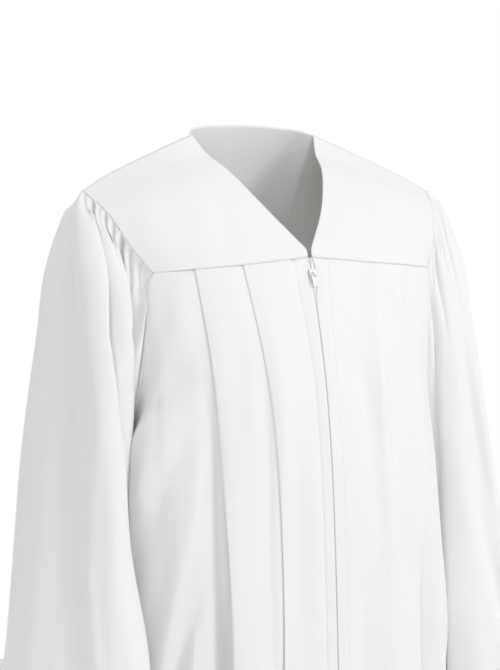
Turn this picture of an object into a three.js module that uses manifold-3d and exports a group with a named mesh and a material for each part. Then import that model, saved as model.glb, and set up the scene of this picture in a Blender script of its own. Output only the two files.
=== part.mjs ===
// A white choir robe in its worn shape: yokes, pleated body, wide gathered sleeves and a front zip.
// Millimetres, +Z up. The origin lies midway between the two sides of the neck, at shoulder height.
// The front faces -Y, and the wearer's right is -X.
import * as THREE from 'three';
import { mergeVertices } from 'three/addons/utils/BufferGeometryUtils.js';
import Module from 'manifold-3d';

// Driving dimensions
const WALL = 1.2;
const SEAM_GAP = 0.3;
const YOKE_DROP = 0.6;
const HEM_Z = -1300;
const CUFF_Z = -690;
const YOKE_CORNER_X = 168;
const PLEAT_TUCK = 14;
const PLEAT_LAYER = 3.2;
const PLEAT_SLOT = 0.8;
const PLACKET_STEP = 2.2;
const TAPE_WIDTH = 11;
const TAPE_WALL = 1.0;
const SLIDER_Z = -149;

const RIGHT = -1;
const LEFT = 1;

// The body's outline at each height: half width, depth in front and behind, and how square it is
const BODY = [
  { z: -130, half: 198, front: 106, back: 90, square: 2.6 },
  { z: -245, half: 184, front: 138, back: 104, square: 2.6 },
  { z: -335, half: 177, front: 153, back: 108, square: 2.8 },
  { z: -440, half: 179, front: 162, back: 112, square: 3.2 },
  { z: -565, half: 183, front: 169, back: 120, square: 3.3 },
  { z: -700, half: 187, front: 176, back: 134, square: 3.0 },
  { z: -900, half: 226, front: 190, back: 165, square: 2.5 },
  { z: -1100, half: 268, front: 208, back: 192, square: 2.3 },
  { z: -1300, half: 300, front: 226, back: 214, square: 2.2 },
];

// Distances of a front's lines from the centre, down the robe
const FRONT_LINES = [
  { z: -130, placket: 22, inner: 79, outer: 130, corner: 168 },
  { z: -240, placket: 14, inner: 67, outer: 121, corner: 158 },
  { z: -345, placket: 13, inner: 62, outer: 119, corner: 153 },
  { z: -565, placket: 13, inner: 63, outer: 117, corner: 152 },
  { z: -900, placket: 13, inner: 78, outer: 140, corner: 186 },
  { z: -1300, placket: 13, inner: 98, outer: 182, corner: 240 },
];

// The same for each half of the back
const BACK_LINES = [
  { z: -130, inner: 58, outer: 112, corner: 168 },
  { z: -345, inner: 56, outer: 108, corner: 152 },
  { z: -565, inner: 60, outer: 112, corner: 150 },
  { z: -900, inner: 76, outer: 142, corner: 186 },
  { z: -1300, inner: 98, outer: 184, corner: 240 },
];

// How far the valley behind each pleat sinks as the pleat opens towards the hem
const PLEAT_OPENING = [
  { z: -130, inner: 0, outer: 0, side: 0 },
  { z: -300, inner: 0.6, outer: 2, side: 5 },
  { z: -440, inner: 2, outer: 7, side: 9 },
  { z: -565, inner: 5, outer: 14, side: 12 },
  { z: -900, inner: 14, outer: 24, side: 20 },
  { z: -1300, inner: 26, outer: 34, side: 30 },
];

// Waves between the outer pleat and the side seam: place along the armhole's edge, depth of the trough
const SIDE_WAVES = [
  { share: 0.2, trough: 0.9 },
  { share: 0.4, trough: 0.1 },
  { share: 0.58, trough: 0.75 },
  { share: 0.78, trough: 0 },
  { share: 1, trough: 0.35 },
];

// Half of the gap between the two front edges, wide where the slider sits
const FRONT_EDGE = [
  { z: -130, gap: 2.6 },
  { z: -140, gap: 5.0 },
  { z: -157, gap: 5.0 },
  { z: -179, gap: 1.2 },
  { z: -215, gap: 0.9 },
  { z: -1300, gap: 0.9 },
];

// Yoke edges of one side: distance from the centre, depth and height
const NECKLINE = [
  { x: 76, y: 20, z: 0 },
  { x: 68, y: 2, z: -20 },
  { x: 58, y: -30, z: -39 },
  { x: 40, y: -63, z: -70 },
  { x: 27, y: -80, z: -90 },
  { x: 13, y: -94, z: -109 },
  { x: 2.6, y: -104.5, z: -124 },
];
const SHOULDER = [
  { x: 76, y: 20, z: 0 },
  { x: 130, y: 15, z: -22 },
  { x: 181, y: 9, z: -44 },
  { x: 213, y: 3, z: -61 },
];
const FRONT_ARM_EDGE = [
  { x: 213, y: 3, z: -61 },
  { x: 200, y: -34, z: -85 },
  { x: 185, y: -58, z: -120 },
];
const BACK_ARM_EDGE = [
  { x: 213, y: 3, z: -61 },
  { x: 202, y: 34, z: -90 },
  { x: 186, y: 52, z: -122 },
];
const NAPE = [
  { x: 76, y: 20, z: 0 },
  { x: 66, y: 42, z: 6 },
  { x: 40, y: 58, z: 10 },
  { x: 0, y: 64, z: 12 },
];
const FRONT_SEAM = [
  { x: 0, z: -131 },
  { x: 79, z: -138 },
  { x: 130, z: -142 },
  { x: YOKE_CORNER_X, z: -146 },
];
const BACK_SEAM_Z = -150;

// The armhole's edge below the yoke corner, as an angle round the body in degrees
const ARMHOLE = [
  { z: -146, angle: 35.1 },
  { z: -180, angle: 32 },
  { z: -232, angle: 25.5 },
  { z: -287, angle: 20 },
  { z: -330, angle: 14.5 },
  { z: -357, angle: 7 },
  { z: -370, angle: 0 },
];
const YOKE_BULGE = 5;
const NAPE_BULGE = 9;

// The sleeve's outline at each height: distance of its middle from the centre, its depth, its half sizes
const SLEEVE = [
  { z: -60, mid: 196, y: 2, across: 30, deep: 36 },
  { z: -130, mid: 203, y: 2, across: 44, deep: 60 },
  { z: -200, mid: 211, y: 3, across: 44, deep: 72 },
  { z: -335, mid: 226, y: 2, across: 44, deep: 88 },
  { z: -440, mid: 234, y: -4, across: 47, deep: 101 },
  { z: -555, mid: 242, y: -16, across: 51, deep: 122 },
  { z: -690, mid: 254, y: -26, across: 61, deep: 144 },
];

// Large folds of a sleeve: place round it in degrees (0 outside, 90 in front), width, rise, top height
const SLEEVE_FOLDS = [
  { turn: 104, width: 13, rise: 7, top: -110 },
  { turn: 126, width: 14, rise: -12, top: -120 },
  { turn: 150, width: 13, rise: 5, top: -250 },
  { turn: 62, width: 22, rise: -6, top: -150 },
  { turn: 22, width: 18, rise: 4, top: -180 },
  { turn: -18, width: 20, rise: -7, top: -140 },
  { turn: -52, width: 16, rise: 6, top: -160 },
  { turn: -84, width: 18, rise: -9, top: -130 },
  { turn: -116, width: 16, rise: 6, top: -150 },
];
const CAP_REACH = 130;
const UNDERARM_REACH = 75;
const GATHER_RISE = 2.4;
const GATHER_LENGTH = 150;

const mix = (a, b, share) => a + (b - a) * share;
const clamp = (value, low, high) => Math.min(high, Math.max(low, value));
const smooth = (share) => share * share * (3 - 2 * share);
const degrees = (angle) => (angle * Math.PI) / 180;

// One column of a table at a height, along a smooth curve through its rows
function column(table, name, z) {
  const last = table.length - 1;
  const falling = clamp(z, table[last].z, table[0].z);
  let row = 0;
  while (row < last - 1 && falling < table[row + 1].z) row += 1;
  const near = [row - 1, row, row + 1, row + 2];
  const [above, here, below, under] = near.map((index) => table[clamp(index, 0, last)]);
  const span = below.z - here.z;
  const share = (falling - here.z) / span;
  const slope = (one, two) => (one === two ? 0 : ((two[name] - one[name]) / (two.z - one.z)) * span);
  const startSlope = slope(above, below);
  const endSlope = slope(here, under);
  const square = share * share;
  const cube = square * share;
  return (2 * cube - 3 * square + 1) * here[name] + (cube - 2 * square + share) * startSlope
    + (3 * square - 2 * cube) * below[name] + (cube - square) * endSlope;
}

// A smooth curve through rows of x, y and z, mirrored to the wearer's side
function curveThrough(rows, side) {
  const points = rows.map((row) => new THREE.Vector3(side * row.x, row.y, row.z));
  const curve = new THREE.CatmullRomCurve3(points, false, 'centripetal');
  return (share) => curve.getPointAt(clamp(share, 0, 1));
}

// Angle round the body at a given distance from the centre: 0 at the side, 90 degrees at the centre
function angleAt(distance, z) {
  const half = column(BODY, 'half', z);
  const square = column(BODY, 'square', z);
  return Math.acos(clamp((distance / half) ** (square / 2), 0, 1));
}

// A point of the body's outline
function outline(side, face, angle, z) {
  const power = 2 / column(BODY, 'square', z);
  const half = column(BODY, 'half', z);
  const depth = face === 'front' ? -column(BODY, 'front', z) : column(BODY, 'back', z);
  const across = Math.max(Math.cos(angle), 0) ** power;
  const forward = Math.max(Math.sin(angle), 0) ** power;
  return new THREE.Vector3(side * half * across, depth * forward, z);
}

// The outline's outward direction, and its direction towards the side
function directions(side, face, angle, z) {
  const step = 0.02;
  const centreward = outline(side, face, Math.min(angle + step, Math.PI / 2), z);
  const sideward = outline(side, face, Math.max(angle - step, 0.004), z);
  const along = sideward.sub(centreward).setZ(0).normalize();
  const out = new THREE.Vector3(along.y, -along.x, 0);
  const centre = outline(side, face, Math.max(angle, 0.05), z);
  if (out.x * centre.x + out.y * centre.y < 0) out.negate();
  return { along, out };
}

// A point of the cloth, moved along the outline and in behind it
function onBody(side, face, angle, z, along = 0, deep = 0) {
  const point = outline(side, face, angle, z);
  const ways = directions(side, face, angle, z);
  return point.addScaledVector(ways.along, along).addScaledVector(ways.out, -deep);
}

// Height of the yoke seam at a distance from the centre
function seamHeight(face, distance) {
  if (face === 'back') return BACK_SEAM_Z;
  const rows = FRONT_SEAM.map((row) => ({ z: -row.x, height: row.z }));
  return column(rows, 'height', -distance);
}

// The armhole's edge below the yoke corner: height and angle at a share of its length
function armholeEdge(face, share) {
  const corner = seamHeight(face, YOKE_CORNER_X);
  const foot = ARMHOLE[ARMHOLE.length - 1].z;
  const z = mix(corner, foot, Math.sin((share * Math.PI) / 2) ** 0.9);
  return { z, angle: degrees(column(ARMHOLE, 'angle', z)) };
}

// Where a pleat's layers lie from its edge: along the cloth, and in behind it
function pleatLayers(opening) {
  const open = smooth(clamp(opening / 24, 0, 1));
  const back = PLEAT_TUCK * (1 - 0.75 * open);
  const under = PLEAT_LAYER + PLEAT_SLOT;
  return [
    { along: 0, deep: 0 },
    { along: 0, deep: PLEAT_LAYER },
    { along: -back, deep: PLEAT_LAYER + opening },
    { along: -back + 5 * open, deep: under + opening * 1.04 },
    { along: 7 + 6 * open, deep: under + opening * 0.8 },
    { along: 22 + 8 * open, deep: (under + opening) * 0.25 },
  ];
}

// Columns of half a panel, from the centre to the side seam. Each has its top and its course down.
function halfPanel(side, face) {
  const lines = face === 'front' ? FRONT_LINES : BACK_LINES;
  const lineAngle = (name, z) => angleAt(column(lines, name, z), z);
  const columns = [];
  const fromSeam = (place) => {
    const top = place(seamHeight(face, YOKE_CORNER_X / 2));
    const topZ = seamHeight(face, Math.abs(top.x));
    columns.push({ topZ: topZ - YOKE_DROP, place });
  };
  const between = (first, second, share) => fromSeam((z) => (
    onBody(side, face, mix(lineAngle(first, z), lineAngle(second, z), share), z)));
  const pleat = (name) => {
    for (let layer = 0; layer < pleatLayers(0).length; layer += 1) {
      fromSeam((z) => {
        const { along, deep } = pleatLayers(column(PLEAT_OPENING, name, z))[layer];
        return onBody(side, face, lineAngle(name, z), z, along, deep);
      });
    }
  };

  if (face === 'front') {
    const edge = (z) => angleAt(column(FRONT_EDGE, 'gap', z), z);
    fromSeam((z) => onBody(side, face, edge(z), z));
    const band = (z) => mix(edge(z), lineAngle('placket', z), 0.5);
    fromSeam((z) => onBody(side, face, band(z), z, 0, PLACKET_STEP / 2));
    fromSeam((z) => onBody(side, face, lineAngle('placket', z), z, 0, PLACKET_STEP));
    fromSeam((z) => onBody(side, face, lineAngle('placket', z), z, 2.5, 0));
    between('placket', 'inner', 0.4);
    between('placket', 'inner', 0.72);
  } else {
    fromSeam((z) => onBody(side, face, Math.PI / 2, z));
    fromSeam((z) => onBody(side, face, mix(Math.PI / 2, lineAngle('inner', z), 0.38), z));
    fromSeam((z) => onBody(side, face, mix(Math.PI / 2, lineAngle('inner', z), 0.7), z));
  }
  pleat('inner');
  between('inner', 'outer', 0.72);
  pleat('outer');
  between('corner', 'corner', 0);

  for (const { share, trough } of SIDE_WAVES) {
    const start = armholeEdge(face, share);
    const place = (z) => {
      const down = clamp((start.z - z) / (start.z - HEM_Z), 0, 1);
      const hemAngle = lineAngle('corner', HEM_Z) * (1 - share) * 0.9;
      const angle = mix(start.angle, hemAngle, smooth(down));
      const sunk = trough * column(PLEAT_OPENING, 'side', z) * clamp(down * 6, 0, 1);
      const point = onBody(side, face, Math.max(angle, 0.004), z, 0, sunk);
      if (share === 1) point.y = (face === 'front' ? -1 : 1) * (SEAM_GAP / 2);
      return point;
    };
    columns.push({ topZ: start.z, place });
  }
  return columns;
}

// Rows of a panel: shares of the way from its top to the hem
const PANEL_ROWS = [
  0, 0.007, 0.021, 0.04, 0.07, 0.11, 0.16, 0.22, 0.29, 0.37, 0.46, 0.56, 0.67, 0.78, 0.9, 1,
];

function panelGrid(columns) {
  return columns.map(({ topZ, place }) => PANEL_ROWS.map((share) => place(mix(topZ, HEM_Z, share))));
}

// A closed wall on a grid of outer points. Given rim directions stand in for the first row's own,
// and the wall's first and last columns keep out of the named axis, so that two edges meet face to face.
function wall(grid, { wrapped = false, thickness = WALL, rim = null, flip = false, edges = [] } = {}) {
  const across = grid.length;
  const down = grid[0].length;
  const at = (u, v) => {
    const line = grid[wrapped ? (u + across) % across : clamp(u, 0, across - 1)];
    return line[clamp(v, 0, down - 1)];
  };
  const outwards = grid.map((line, u) => line.map((_, v) => {
    if (rim && v === 0 && rim[u]) return rim[u];
    const sum = new THREE.Vector3();
    for (const [du, dv] of [[1, 1], [-1, 1], [-1, -1], [1, -1]]) {
      const one = at(u + du, v).clone().sub(at(u, v));
      const two = at(u, v + dv).clone().sub(at(u, v));
      const normal = one.cross(two).multiplyScalar(du * dv);
      if (normal.lengthSq() > 1e-9) sum.add(normal.normalize());
    }
    const axis = u === 0 ? edges[0] : u === across - 1 ? edges[1] : null;
    if (axis) sum.setComponent(axis === 'x' ? 0 : 1, 0);
    return sum.normalize().multiplyScalar(flip ? -1 : 1);
  }));
  const positions = [];
  grid.forEach((line) => line.forEach((point) => positions.push(point.x, point.y, point.z)));
  grid.forEach((line, u) => line.forEach((point, v) => {
    const inner = point.clone().addScaledVector(outwards[u][v], -thickness);
    positions.push(inner.x, inner.y, inner.z);
  }));
  const faces = [];
  const outer = (u, v) => ((u + across) % across) * down + v;
  const inner = (u, v) => outer(u, v) + across * down;
  const quad = (a, b, c, d) => (flip ? faces.push(a, c, b, a, d, c) : faces.push(a, b, c, a, c, d));
  const lastAcross = wrapped ? across : across - 1;
  for (let u = 0; u < lastAcross; u += 1) {
    for (let v = 0; v < down - 1; v += 1) {
      quad(outer(u, v), outer(u + 1, v), outer(u + 1, v + 1), outer(u, v + 1));
      quad(inner(u, v), inner(u, v + 1), inner(u + 1, v + 1), inner(u + 1, v));
    }
    quad(outer(u, 0), inner(u, 0), inner(u + 1, 0), outer(u + 1, 0));
    quad(outer(u, down - 1), outer(u + 1, down - 1), inner(u + 1, down - 1), inner(u, down - 1));
  }
  if (!wrapped) {
    for (let v = 0; v < down - 1; v += 1) {
      quad(outer(0, v), outer(0, v + 1), inner(0, v + 1), inner(0, v));
      const end = across - 1;
      quad(outer(end, v), inner(end, v), inner(end, v + 1), outer(end, v + 1));
    }
  }
  const geometry = new THREE.BufferGeometry();
  geometry.setAttribute('position', new THREE.Float32BufferAttribute(positions, 3));
  geometry.setIndex(faces);
  geometry.computeVertexNormals();
  return geometry;
}

// A patch between four edges. The neck and armhole edges run from the shoulder down to the seam,
// and the shoulder's own bend fades fast below it.
function patch(neckEdge, armHoleEdge, shoulderEdge, seamEdge, across, down) {
  const grid = [];
  for (let u = 0; u <= across; u += 1) {
    const s = u / across;
    const line = [];
    for (let v = 0; v <= down; v += 1) {
      const t = v / down;
      const point = new THREE.Vector3();
      const fade = (1 - t) ** 2;
      point.addScaledVector(neckEdge(t), 1 - s).addScaledVector(armHoleEdge(t), s);
      point.addScaledVector(shoulderEdge(s), fade).addScaledVector(seamEdge(s), t);
      point.addScaledVector(neckEdge(0), -(1 - s) * fade).addScaledVector(armHoleEdge(0), -s * fade);
      point.addScaledVector(neckEdge(1), -(1 - s) * t).addScaledVector(armHoleEdge(1), -s * t);
      line.push(point);
    }
    grid.push(line);
  }
  return grid;
}

// Rounds a yoke outwards between its edges
function swell(grid, amount, centre) {
  const across = grid.length - 1;
  const down = grid[0].length - 1;
  grid.forEach((line, u) => line.forEach((point, v) => {
    const rise = 16 * amount * (u / across) * (1 - u / across) * (v / down) * (1 - v / down);
    point.addScaledVector(point.clone().sub(centre).normalize(), rise);
  }));
  return grid;
}

// Outward direction along a shoulder seam, shared by the yokes that meet there
function shoulderOut(side) {
  const [start, end] = [SHOULDER[0], SHOULDER[SHOULDER.length - 1]];
  return new THREE.Vector3(side * (start.z - end.z), 0, end.x - start.x).normalize();
}

// The edge of a yoke along its seam with the front or back, from the centre to the corner
function yokeSeam(side, face) {
  const start = face === 'front' ? column(FRONT_EDGE, 'gap', -130) : 0;
  return (share) => {
    const distance = mix(start, YOKE_CORNER_X, share);
    const z = seamHeight(face, distance);
    return outline(side, face, angleAt(distance, z), z);
  };
}

function armEdge(side, face) {
  const rows = face === 'front' ? FRONT_ARM_EDGE : BACK_ARM_EDGE;
  const corner = yokeSeam(1, face)(1);
  return curveThrough([...rows, corner], side);
}

function frontYokeGrid(side) {
  const seam = yokeSeam(side, 'front');
  const foot = yokeSeam(1, 'front')(0);
  const neck = curveThrough([...NECKLINE, foot], side);
  const grid = patch(neck, armEdge(side, 'front'), curveThrough(SHOULDER, side), seam, 11, 9);
  return swell(grid, YOKE_BULGE, new THREE.Vector3(side * 90, 60, -160));
}

function backYokeGrid() {
  const half = (side) => {
    const nape = curveThrough(NAPE, side);
    const seam = yokeSeam(side, 'back');
    const down = (start, end) => (share) => start.clone().lerp(end, share);
    const middle = (share) => {
      const point = down(nape(1), seam(0))(share);
      point.y += NAPE_BULGE * Math.sin(share * Math.PI);
      return point;
    };
    const shoulder = curveThrough(SHOULDER, side);
    const arm = armEdge(side, 'back');
    // The top edge runs along the nape and then along the shoulder
    const napeShare = 0.42;
    const top = (share) => (share < napeShare
      ? nape(1 - share / napeShare)
      : shoulder((share - napeShare) / (1 - napeShare)));
    const grid = patch(middle, arm, top, seam, 12, 8);
    return swell(grid, YOKE_BULGE, new THREE.Vector3(side * 90, -60, -160));
  };
  const leftHalf = half(LEFT);
  const rightHalf = half(RIGHT).reverse();
  const grid = [...rightHalf.slice(0, -1), ...leftHalf];
  // A seam's gap behind the front yokes along the shoulders
  const rims = grid.map((line) => {
    const [top] = line;
    if (Math.abs(top.x) < NAPE[0].x - 0.5) return null;
    top.y += SEAM_GAP * 1.6;
    return shoulderOut(Math.sign(top.x));
  });
  return { grid, rims };
}

// The armhole as a loop: from the shoulder tip forwards and down to the underarm, then up the back
const LOOP = [
  { share: 0, turn: 0 },
  { share: 0.2, turn: 52 },
  { share: 0.36, turn: 108 },
  { share: 0.5, turn: 180 },
  { share: 0.64, turn: 252 },
  { share: 0.8, turn: 308 },
  { share: 1, turn: 360 },
];

function loopTurn(share) {
  const row = LOOP.findIndex((entry, index) => index > 0 && share <= entry.share);
  const [low, high] = [LOOP[row - 1], LOOP[row]];
  return mix(low.turn, high.turn, (share - low.share) / (high.share - low.share));
}

// The armhole's edge below the yoke corner, straight between the columns of the panel that it edges
function armholeRim(side, face, share) {
  const shares = [0, ...SIDE_WAVES.map((wave) => wave.share)];
  const next = shares.findIndex((value, index) => index > 0 && share <= value);
  const [low, high] = [shares[next - 1], shares[next]].map((value) => {
    const { angle, z } = armholeEdge(face, value);
    return outline(side, face, angle, z);
  });
  return low.lerp(high, (share - shares[next - 1]) / (shares[next] - shares[next - 1]));
}

// A point of the armhole's edge, its outward direction, and the way the sleeve leaves it
function armholeStart(side, share) {
  const front = share <= 0.5;
  const face = front ? 'front' : 'back';
  const way = front ? share * 2 : (1 - share) * 2;
  const cornerWay = 0.72;
  const grid = (where) => {
    if (where <= cornerWay) return armEdge(side, face)(where / cornerWay);
    return armholeRim(side, face, (where - cornerWay) / (1 - cornerWay));
  };
  const point = grid(way);
  const step = 0.01;
  const edgeWay = grid(Math.min(way + step, 1)).sub(grid(Math.max(way - step, 0))).normalize();
  const yokeOut = point.clone().sub(new THREE.Vector3(side * 120, 0, -190)).normalize();
  const low = armholeEdge(face, clamp((way - cornerWay) / (1 - cornerWay), 0, 1));
  const bodyOut = directions(side, face, low.angle, low.z).out;
  const out = yokeOut.lerp(bodyOut, smooth(clamp((way - 0.5) / 0.3, 0, 1)));
  out.addScaledVector(edgeWay, -out.dot(edgeWay)).normalize();
  const away = edgeWay.clone().cross(out).normalize();
  const outside = new THREE.Vector3(side, 0, 0.4);
  if (way < cornerWay ? away.dot(outside) < 0 : away.z < 0) away.negate();
  const turn = Math.PI * smooth(clamp((way - 0.6) / 0.4, 0, 1));
  const rim = out.clone().multiplyScalar(Math.cos(turn)).addScaledVector(away, -Math.sin(turn));
  const flow = away.clone().multiplyScalar(Math.cos(turn)).addScaledVector(out, Math.sin(turn));
  const lift = clamp(turn - Math.PI / 2, 0, Math.PI / 2);
  const start = point.clone().addScaledVector(away, SEAM_GAP * 1.5 * Math.cos(lift));
  start.addScaledVector(out, SEAM_GAP * 1.5 * Math.sin(lift));
  return { start, rim, flow };
}

// A point of a sleeve's outline with its folds
function sleevePoint(side, turn, z) {
  const angle = degrees(turn);
  const across = column(SLEEVE, 'across', z);
  const deep = column(SLEEVE, 'deep', z);
  let rise = 0;
  for (const fold of SLEEVE_FOLDS) {
    let apart = Math.abs(((turn - fold.turn + 540) % 360) - 180) / fold.width;
    apart = clamp(apart, 0, 2);
    const grown = clamp((fold.top - z) / 260, 0, 1);
    rise += fold.rise * grown * (0.5 + 0.5 * Math.cos((apart * Math.PI) / 2)) * (apart < 2 ? 1 : 0);
  }
  const x = Math.cos(angle) * (across + rise);
  const y = -Math.sin(angle) * (deep + rise);
  return new THREE.Vector3(side * (column(SLEEVE, 'mid', z) + x), column(SLEEVE, 'y', z) + y, z);
}

const SLEEVE_COLUMNS = 44;
const SLEEVE_ROWS = [0, 0.012, 0.035, 0.075, 0.125, 0.19, 0.27, 0.37, 0.48, 0.6, 0.73, 0.86, 1];

function sleeveGrid(side) {
  const rims = [];
  const grid = [];
  for (let index = 0; index < SLEEVE_COLUMNS; index += 1) {
    const share = index / SLEEVE_COLUMNS;
    const turn = loopTurn(share);
    const { start, rim, flow } = armholeStart(side, share);
    rims.push(rim);
    const low = 1 - Math.abs(Math.cos(degrees(turn / 2)));
    const reach = mix(CAP_REACH, UNDERARM_REACH, low);
    const capShare = clamp(Math.cos(degrees(turn / 2)) ** 2 * 1.6 - 0.35, 0, 1);
    const tuck = (index % 2 === 0 ? 1 : -1) * GATHER_RISE * capShare;
    const line = SLEEVE_ROWS.map((rowShare, row) => {
      if (row === 0) return start.clone();
      const lead = start.clone().addScaledVector(flow, Math.min(5, rowShare * 300));
      const z = mix(lead.z, CUFF_Z, rowShare);
      const drop = lead.z - z;
      const spread = (1 - (1 - clamp(drop / reach, 0, 1)) ** 2) ** 0.8;
      const hung = sleevePoint(side, turn, z);
      const point = new THREE.Vector3(mix(lead.x, hung.x, spread), mix(lead.y, hung.y, spread), z);
      const fade = clamp(1 - drop / GATHER_LENGTH, 0, 1);
      const outward = hung.clone().sub(new THREE.Vector3(side * column(SLEEVE, 'mid', z), hung.y * 0.2, z));
      return point.addScaledVector(outward.setZ(0).normalize(), tuck * fade * Math.min(1, row / 1.5));
    });
    grid.push(line);
  }
  return { grid, rims };
}

// A zip tape behind one front edge, made from that front's band
function tapeGrid(side) {
  const top = seamHeight('front', 0) - YOKE_DROP;
  const heights = PANEL_ROWS.slice(0, -1).map((share) => mix(top, HEM_Z, share));
  return [0.35, 4, TAPE_WIDTH].map((distance) => heights.map((z) => {
    const band = PLACKET_STEP * (distance / column(FRONT_LINES, 'placket', z));
    return onBody(side, 'front', angleAt(distance, z), z, 0, WALL + SEAM_GAP * 1.4 + band);
  }));
}

// Zip slider and pull, in the slope of the cloth: x across, y in, z up
const SLIDER = { width: 8, height: 11, depth: 3.4, back: 1.1 };
const BAIL = { width: 2.4, hole: 2.6, bar: 0.9 };
const PULL = { length: 15, width: 6, thick: 1.2, arm: 1.3, bar: 1.4, eye: 4.8, keyhole: 1.1 };

const wasm = await Module();
wasm.setup();

function toSolid(geometry) {
  const bare = geometry.clone();
  bare.deleteAttribute('normal');
  bare.deleteAttribute('uv');
  const merged = mergeVertices(bare, 1e-4);
  return new wasm.Manifold(new wasm.Mesh({
    numProp: 3,
    vertProperties: new Float32Array(merged.attributes.position.array),
    triVerts: new Uint32Array(merged.index.array),
  }));
}

function fromSolid(solid) {
  const mesh = solid.getMesh();
  const geometry = new THREE.BufferGeometry();
  geometry.setAttribute('position', new THREE.Float32BufferAttribute(mesh.vertProperties, 3));
  geometry.setIndex([...mesh.triVerts]);
  geometry.computeVertexNormals();
  return geometry;
}

// The slider's plate is wider above, where the two rows of teeth run in
function sliderGeometry() {
  const { width, height, depth, back } = SLIDER;
  const plate = new THREE.Shape();
  plate.moveTo(-width * 0.32, -height / 2);
  plate.lineTo(width * 0.32, -height / 2);
  plate.lineTo(width * 0.42, 0);
  plate.lineTo(width / 2, height * 0.42);
  plate.quadraticCurveTo(width * 0.3, height * 0.52, 0, height * 0.36);
  plate.quadraticCurveTo(-width * 0.3, height * 0.52, -width / 2, height * 0.42);
  plate.lineTo(-width * 0.42, 0);
  const body = new THREE.ExtrudeGeometry(plate, { depth, bevelEnabled: false, curveSegments: 4 });
  body.rotateX(Math.PI / 2);
  body.translate(0, back, 0);

  const { hole, bar } = BAIL;
  const reach = hole + bar;
  const sunk = 0.6;
  const arch = new THREE.Shape();
  arch.moveTo(-hole / 2 - bar, -sunk);
  arch.lineTo(hole / 2 + bar, -sunk);
  arch.lineTo(hole / 2 + bar, reach * 0.7);
  arch.lineTo(hole / 2, reach);
  arch.lineTo(-hole / 2, reach);
  arch.lineTo(-hole / 2 - bar, reach * 0.7);
  const window = new THREE.Path();
  window.moveTo(-hole / 2, 0);
  window.lineTo(-hole / 2, hole);
  window.lineTo(hole / 2, hole);
  window.lineTo(hole / 2, 0);
  arch.holes.push(window);
  const bail = new THREE.ExtrudeGeometry(arch, { depth: BAIL.width, bevelEnabled: false });
  bail.translate(0, 0, -BAIL.width / 2);
  bail.rotateY(Math.PI / 2);
  bail.rotateZ(Math.PI);
  bail.translate(0, back - depth, 0);
  return fromSolid(toSolid(body).add(toSolid(bail)));
}

function pullGeometry() {
  const { length, width, thick, arm, bar, eye, keyhole } = PULL;
  const tab = new THREE.Shape();
  const top = bar / 2;
  const foot = top - length;
  tab.moveTo(-width / 2, top);
  tab.lineTo(-width * 0.5, foot + width * 0.4);
  tab.absarc(0, foot + width * 0.42, width * 0.42, Math.PI, 2 * Math.PI, false);
  tab.lineTo(width / 2, foot + width * 0.4);
  tab.lineTo(width / 2, top);
  const window = new THREE.Path();
  window.moveTo(-width / 2 + arm, -top);
  window.lineTo(width / 2 - arm, -top);
  window.lineTo(width / 2 - arm, -eye);
  window.lineTo(-width / 2 + arm, -eye);
  const hole = new THREE.Path();
  hole.absarc(0, foot + width * 0.45, keyhole, 0, 2 * Math.PI, true);
  tab.holes.push(window, hole);
  const geometry = new THREE.ExtrudeGeometry(tab, { depth: thick, bevelEnabled: false, curveSegments: 8 });
  geometry.translate(0, 0, -thick / 2);
  geometry.rotateX(Math.PI / 2);
  return geometry;
}

const cloth = new THREE.MeshStandardMaterial({ color: 0xf1f0ee, roughness: 0.72, metalness: 0 });
const tapeCloth = new THREE.MeshStandardMaterial({ color: 0xececea, roughness: 0.8, metalness: 0 });
const enamel = new THREE.MeshStandardMaterial({ color: 0xe9e9e7, roughness: 0.35, metalness: 0.25 });

const robe = new THREE.Group();

function addPiece(name, geometry, material, parent = robe) {
  const mesh = new THREE.Mesh(geometry, material);
  mesh.name = name;
  parent.add(mesh);
  return mesh;
}

for (const [side, word] of [[RIGHT, 'right'], [LEFT, 'left']]) {
  const flip = side === LEFT;
  const yoke = frontYokeGrid(side);
  const yokeRims = yoke.map(() => shoulderOut(side));
  addPiece(`yoke_front_${word}`, wall(yoke, { rim: yokeRims, flip }), cloth);
  const front = wall(panelGrid(halfPanel(side, 'front')), { flip, edges: ['x', 'y'] });
  addPiece(`front_${word}`, front, cloth);
  const { grid, rims } = sleeveGrid(side);
  addPiece(`sleeve_${word}`, wall(grid, { wrapped: true, rim: rims, flip }), cloth);
  addPiece(`zip_tape_${word}`, wall(tapeGrid(side), { thickness: TAPE_WALL, flip }), tapeCloth);
}

const backYoke = backYokeGrid();
addPiece('yoke_back', wall(backYoke.grid, { rim: backYoke.rims }), cloth);
const backColumns = [...halfPanel(RIGHT, 'back').reverse().slice(0, -1), ...halfPanel(LEFT, 'back')];
addPiece('back_panel', wall(panelGrid(backColumns), { edges: ['y', 'y'] }), cloth);

const TOP_STOP = { x: 1.5, z: -136, deep: 0.6, size: [1.6, 1.4, 3] };

// The zip's hardware sits in the slope of the front edges
const sliderPlace = outline(LEFT, 'front', Math.PI / 2, SLIDER_Z);
const slopeStep = 10;
const sliderFoot = outline(LEFT, 'front', Math.PI / 2, SLIDER_Z - slopeStep);
const slope = Math.atan2(sliderPlace.y - sliderFoot.y, slopeStep);
const zipHead = new THREE.Group();
zipHead.position.copy(sliderPlace);
zipHead.rotation.x = -slope;
robe.add(zipHead);
addPiece('zip_slider', sliderGeometry(), enamel, zipHead);
const pull = addPiece('zip_pull', pullGeometry(), enamel, zipHead);
pull.position.y = SLIDER.back - SLIDER.depth - BAIL.hole / 2;

for (const [side, word] of [[RIGHT, 'right'], [LEFT, 'left']]) {
  const { x, z, deep, size } = TOP_STOP;
  const stop = addPiece(`zip_top_stop_${word}`, new THREE.BoxGeometry(...size), enamel);
  stop.position.copy(onBody(side, 'front', angleAt(x, z), z, 0, deep));
}

export default robe;
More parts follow.
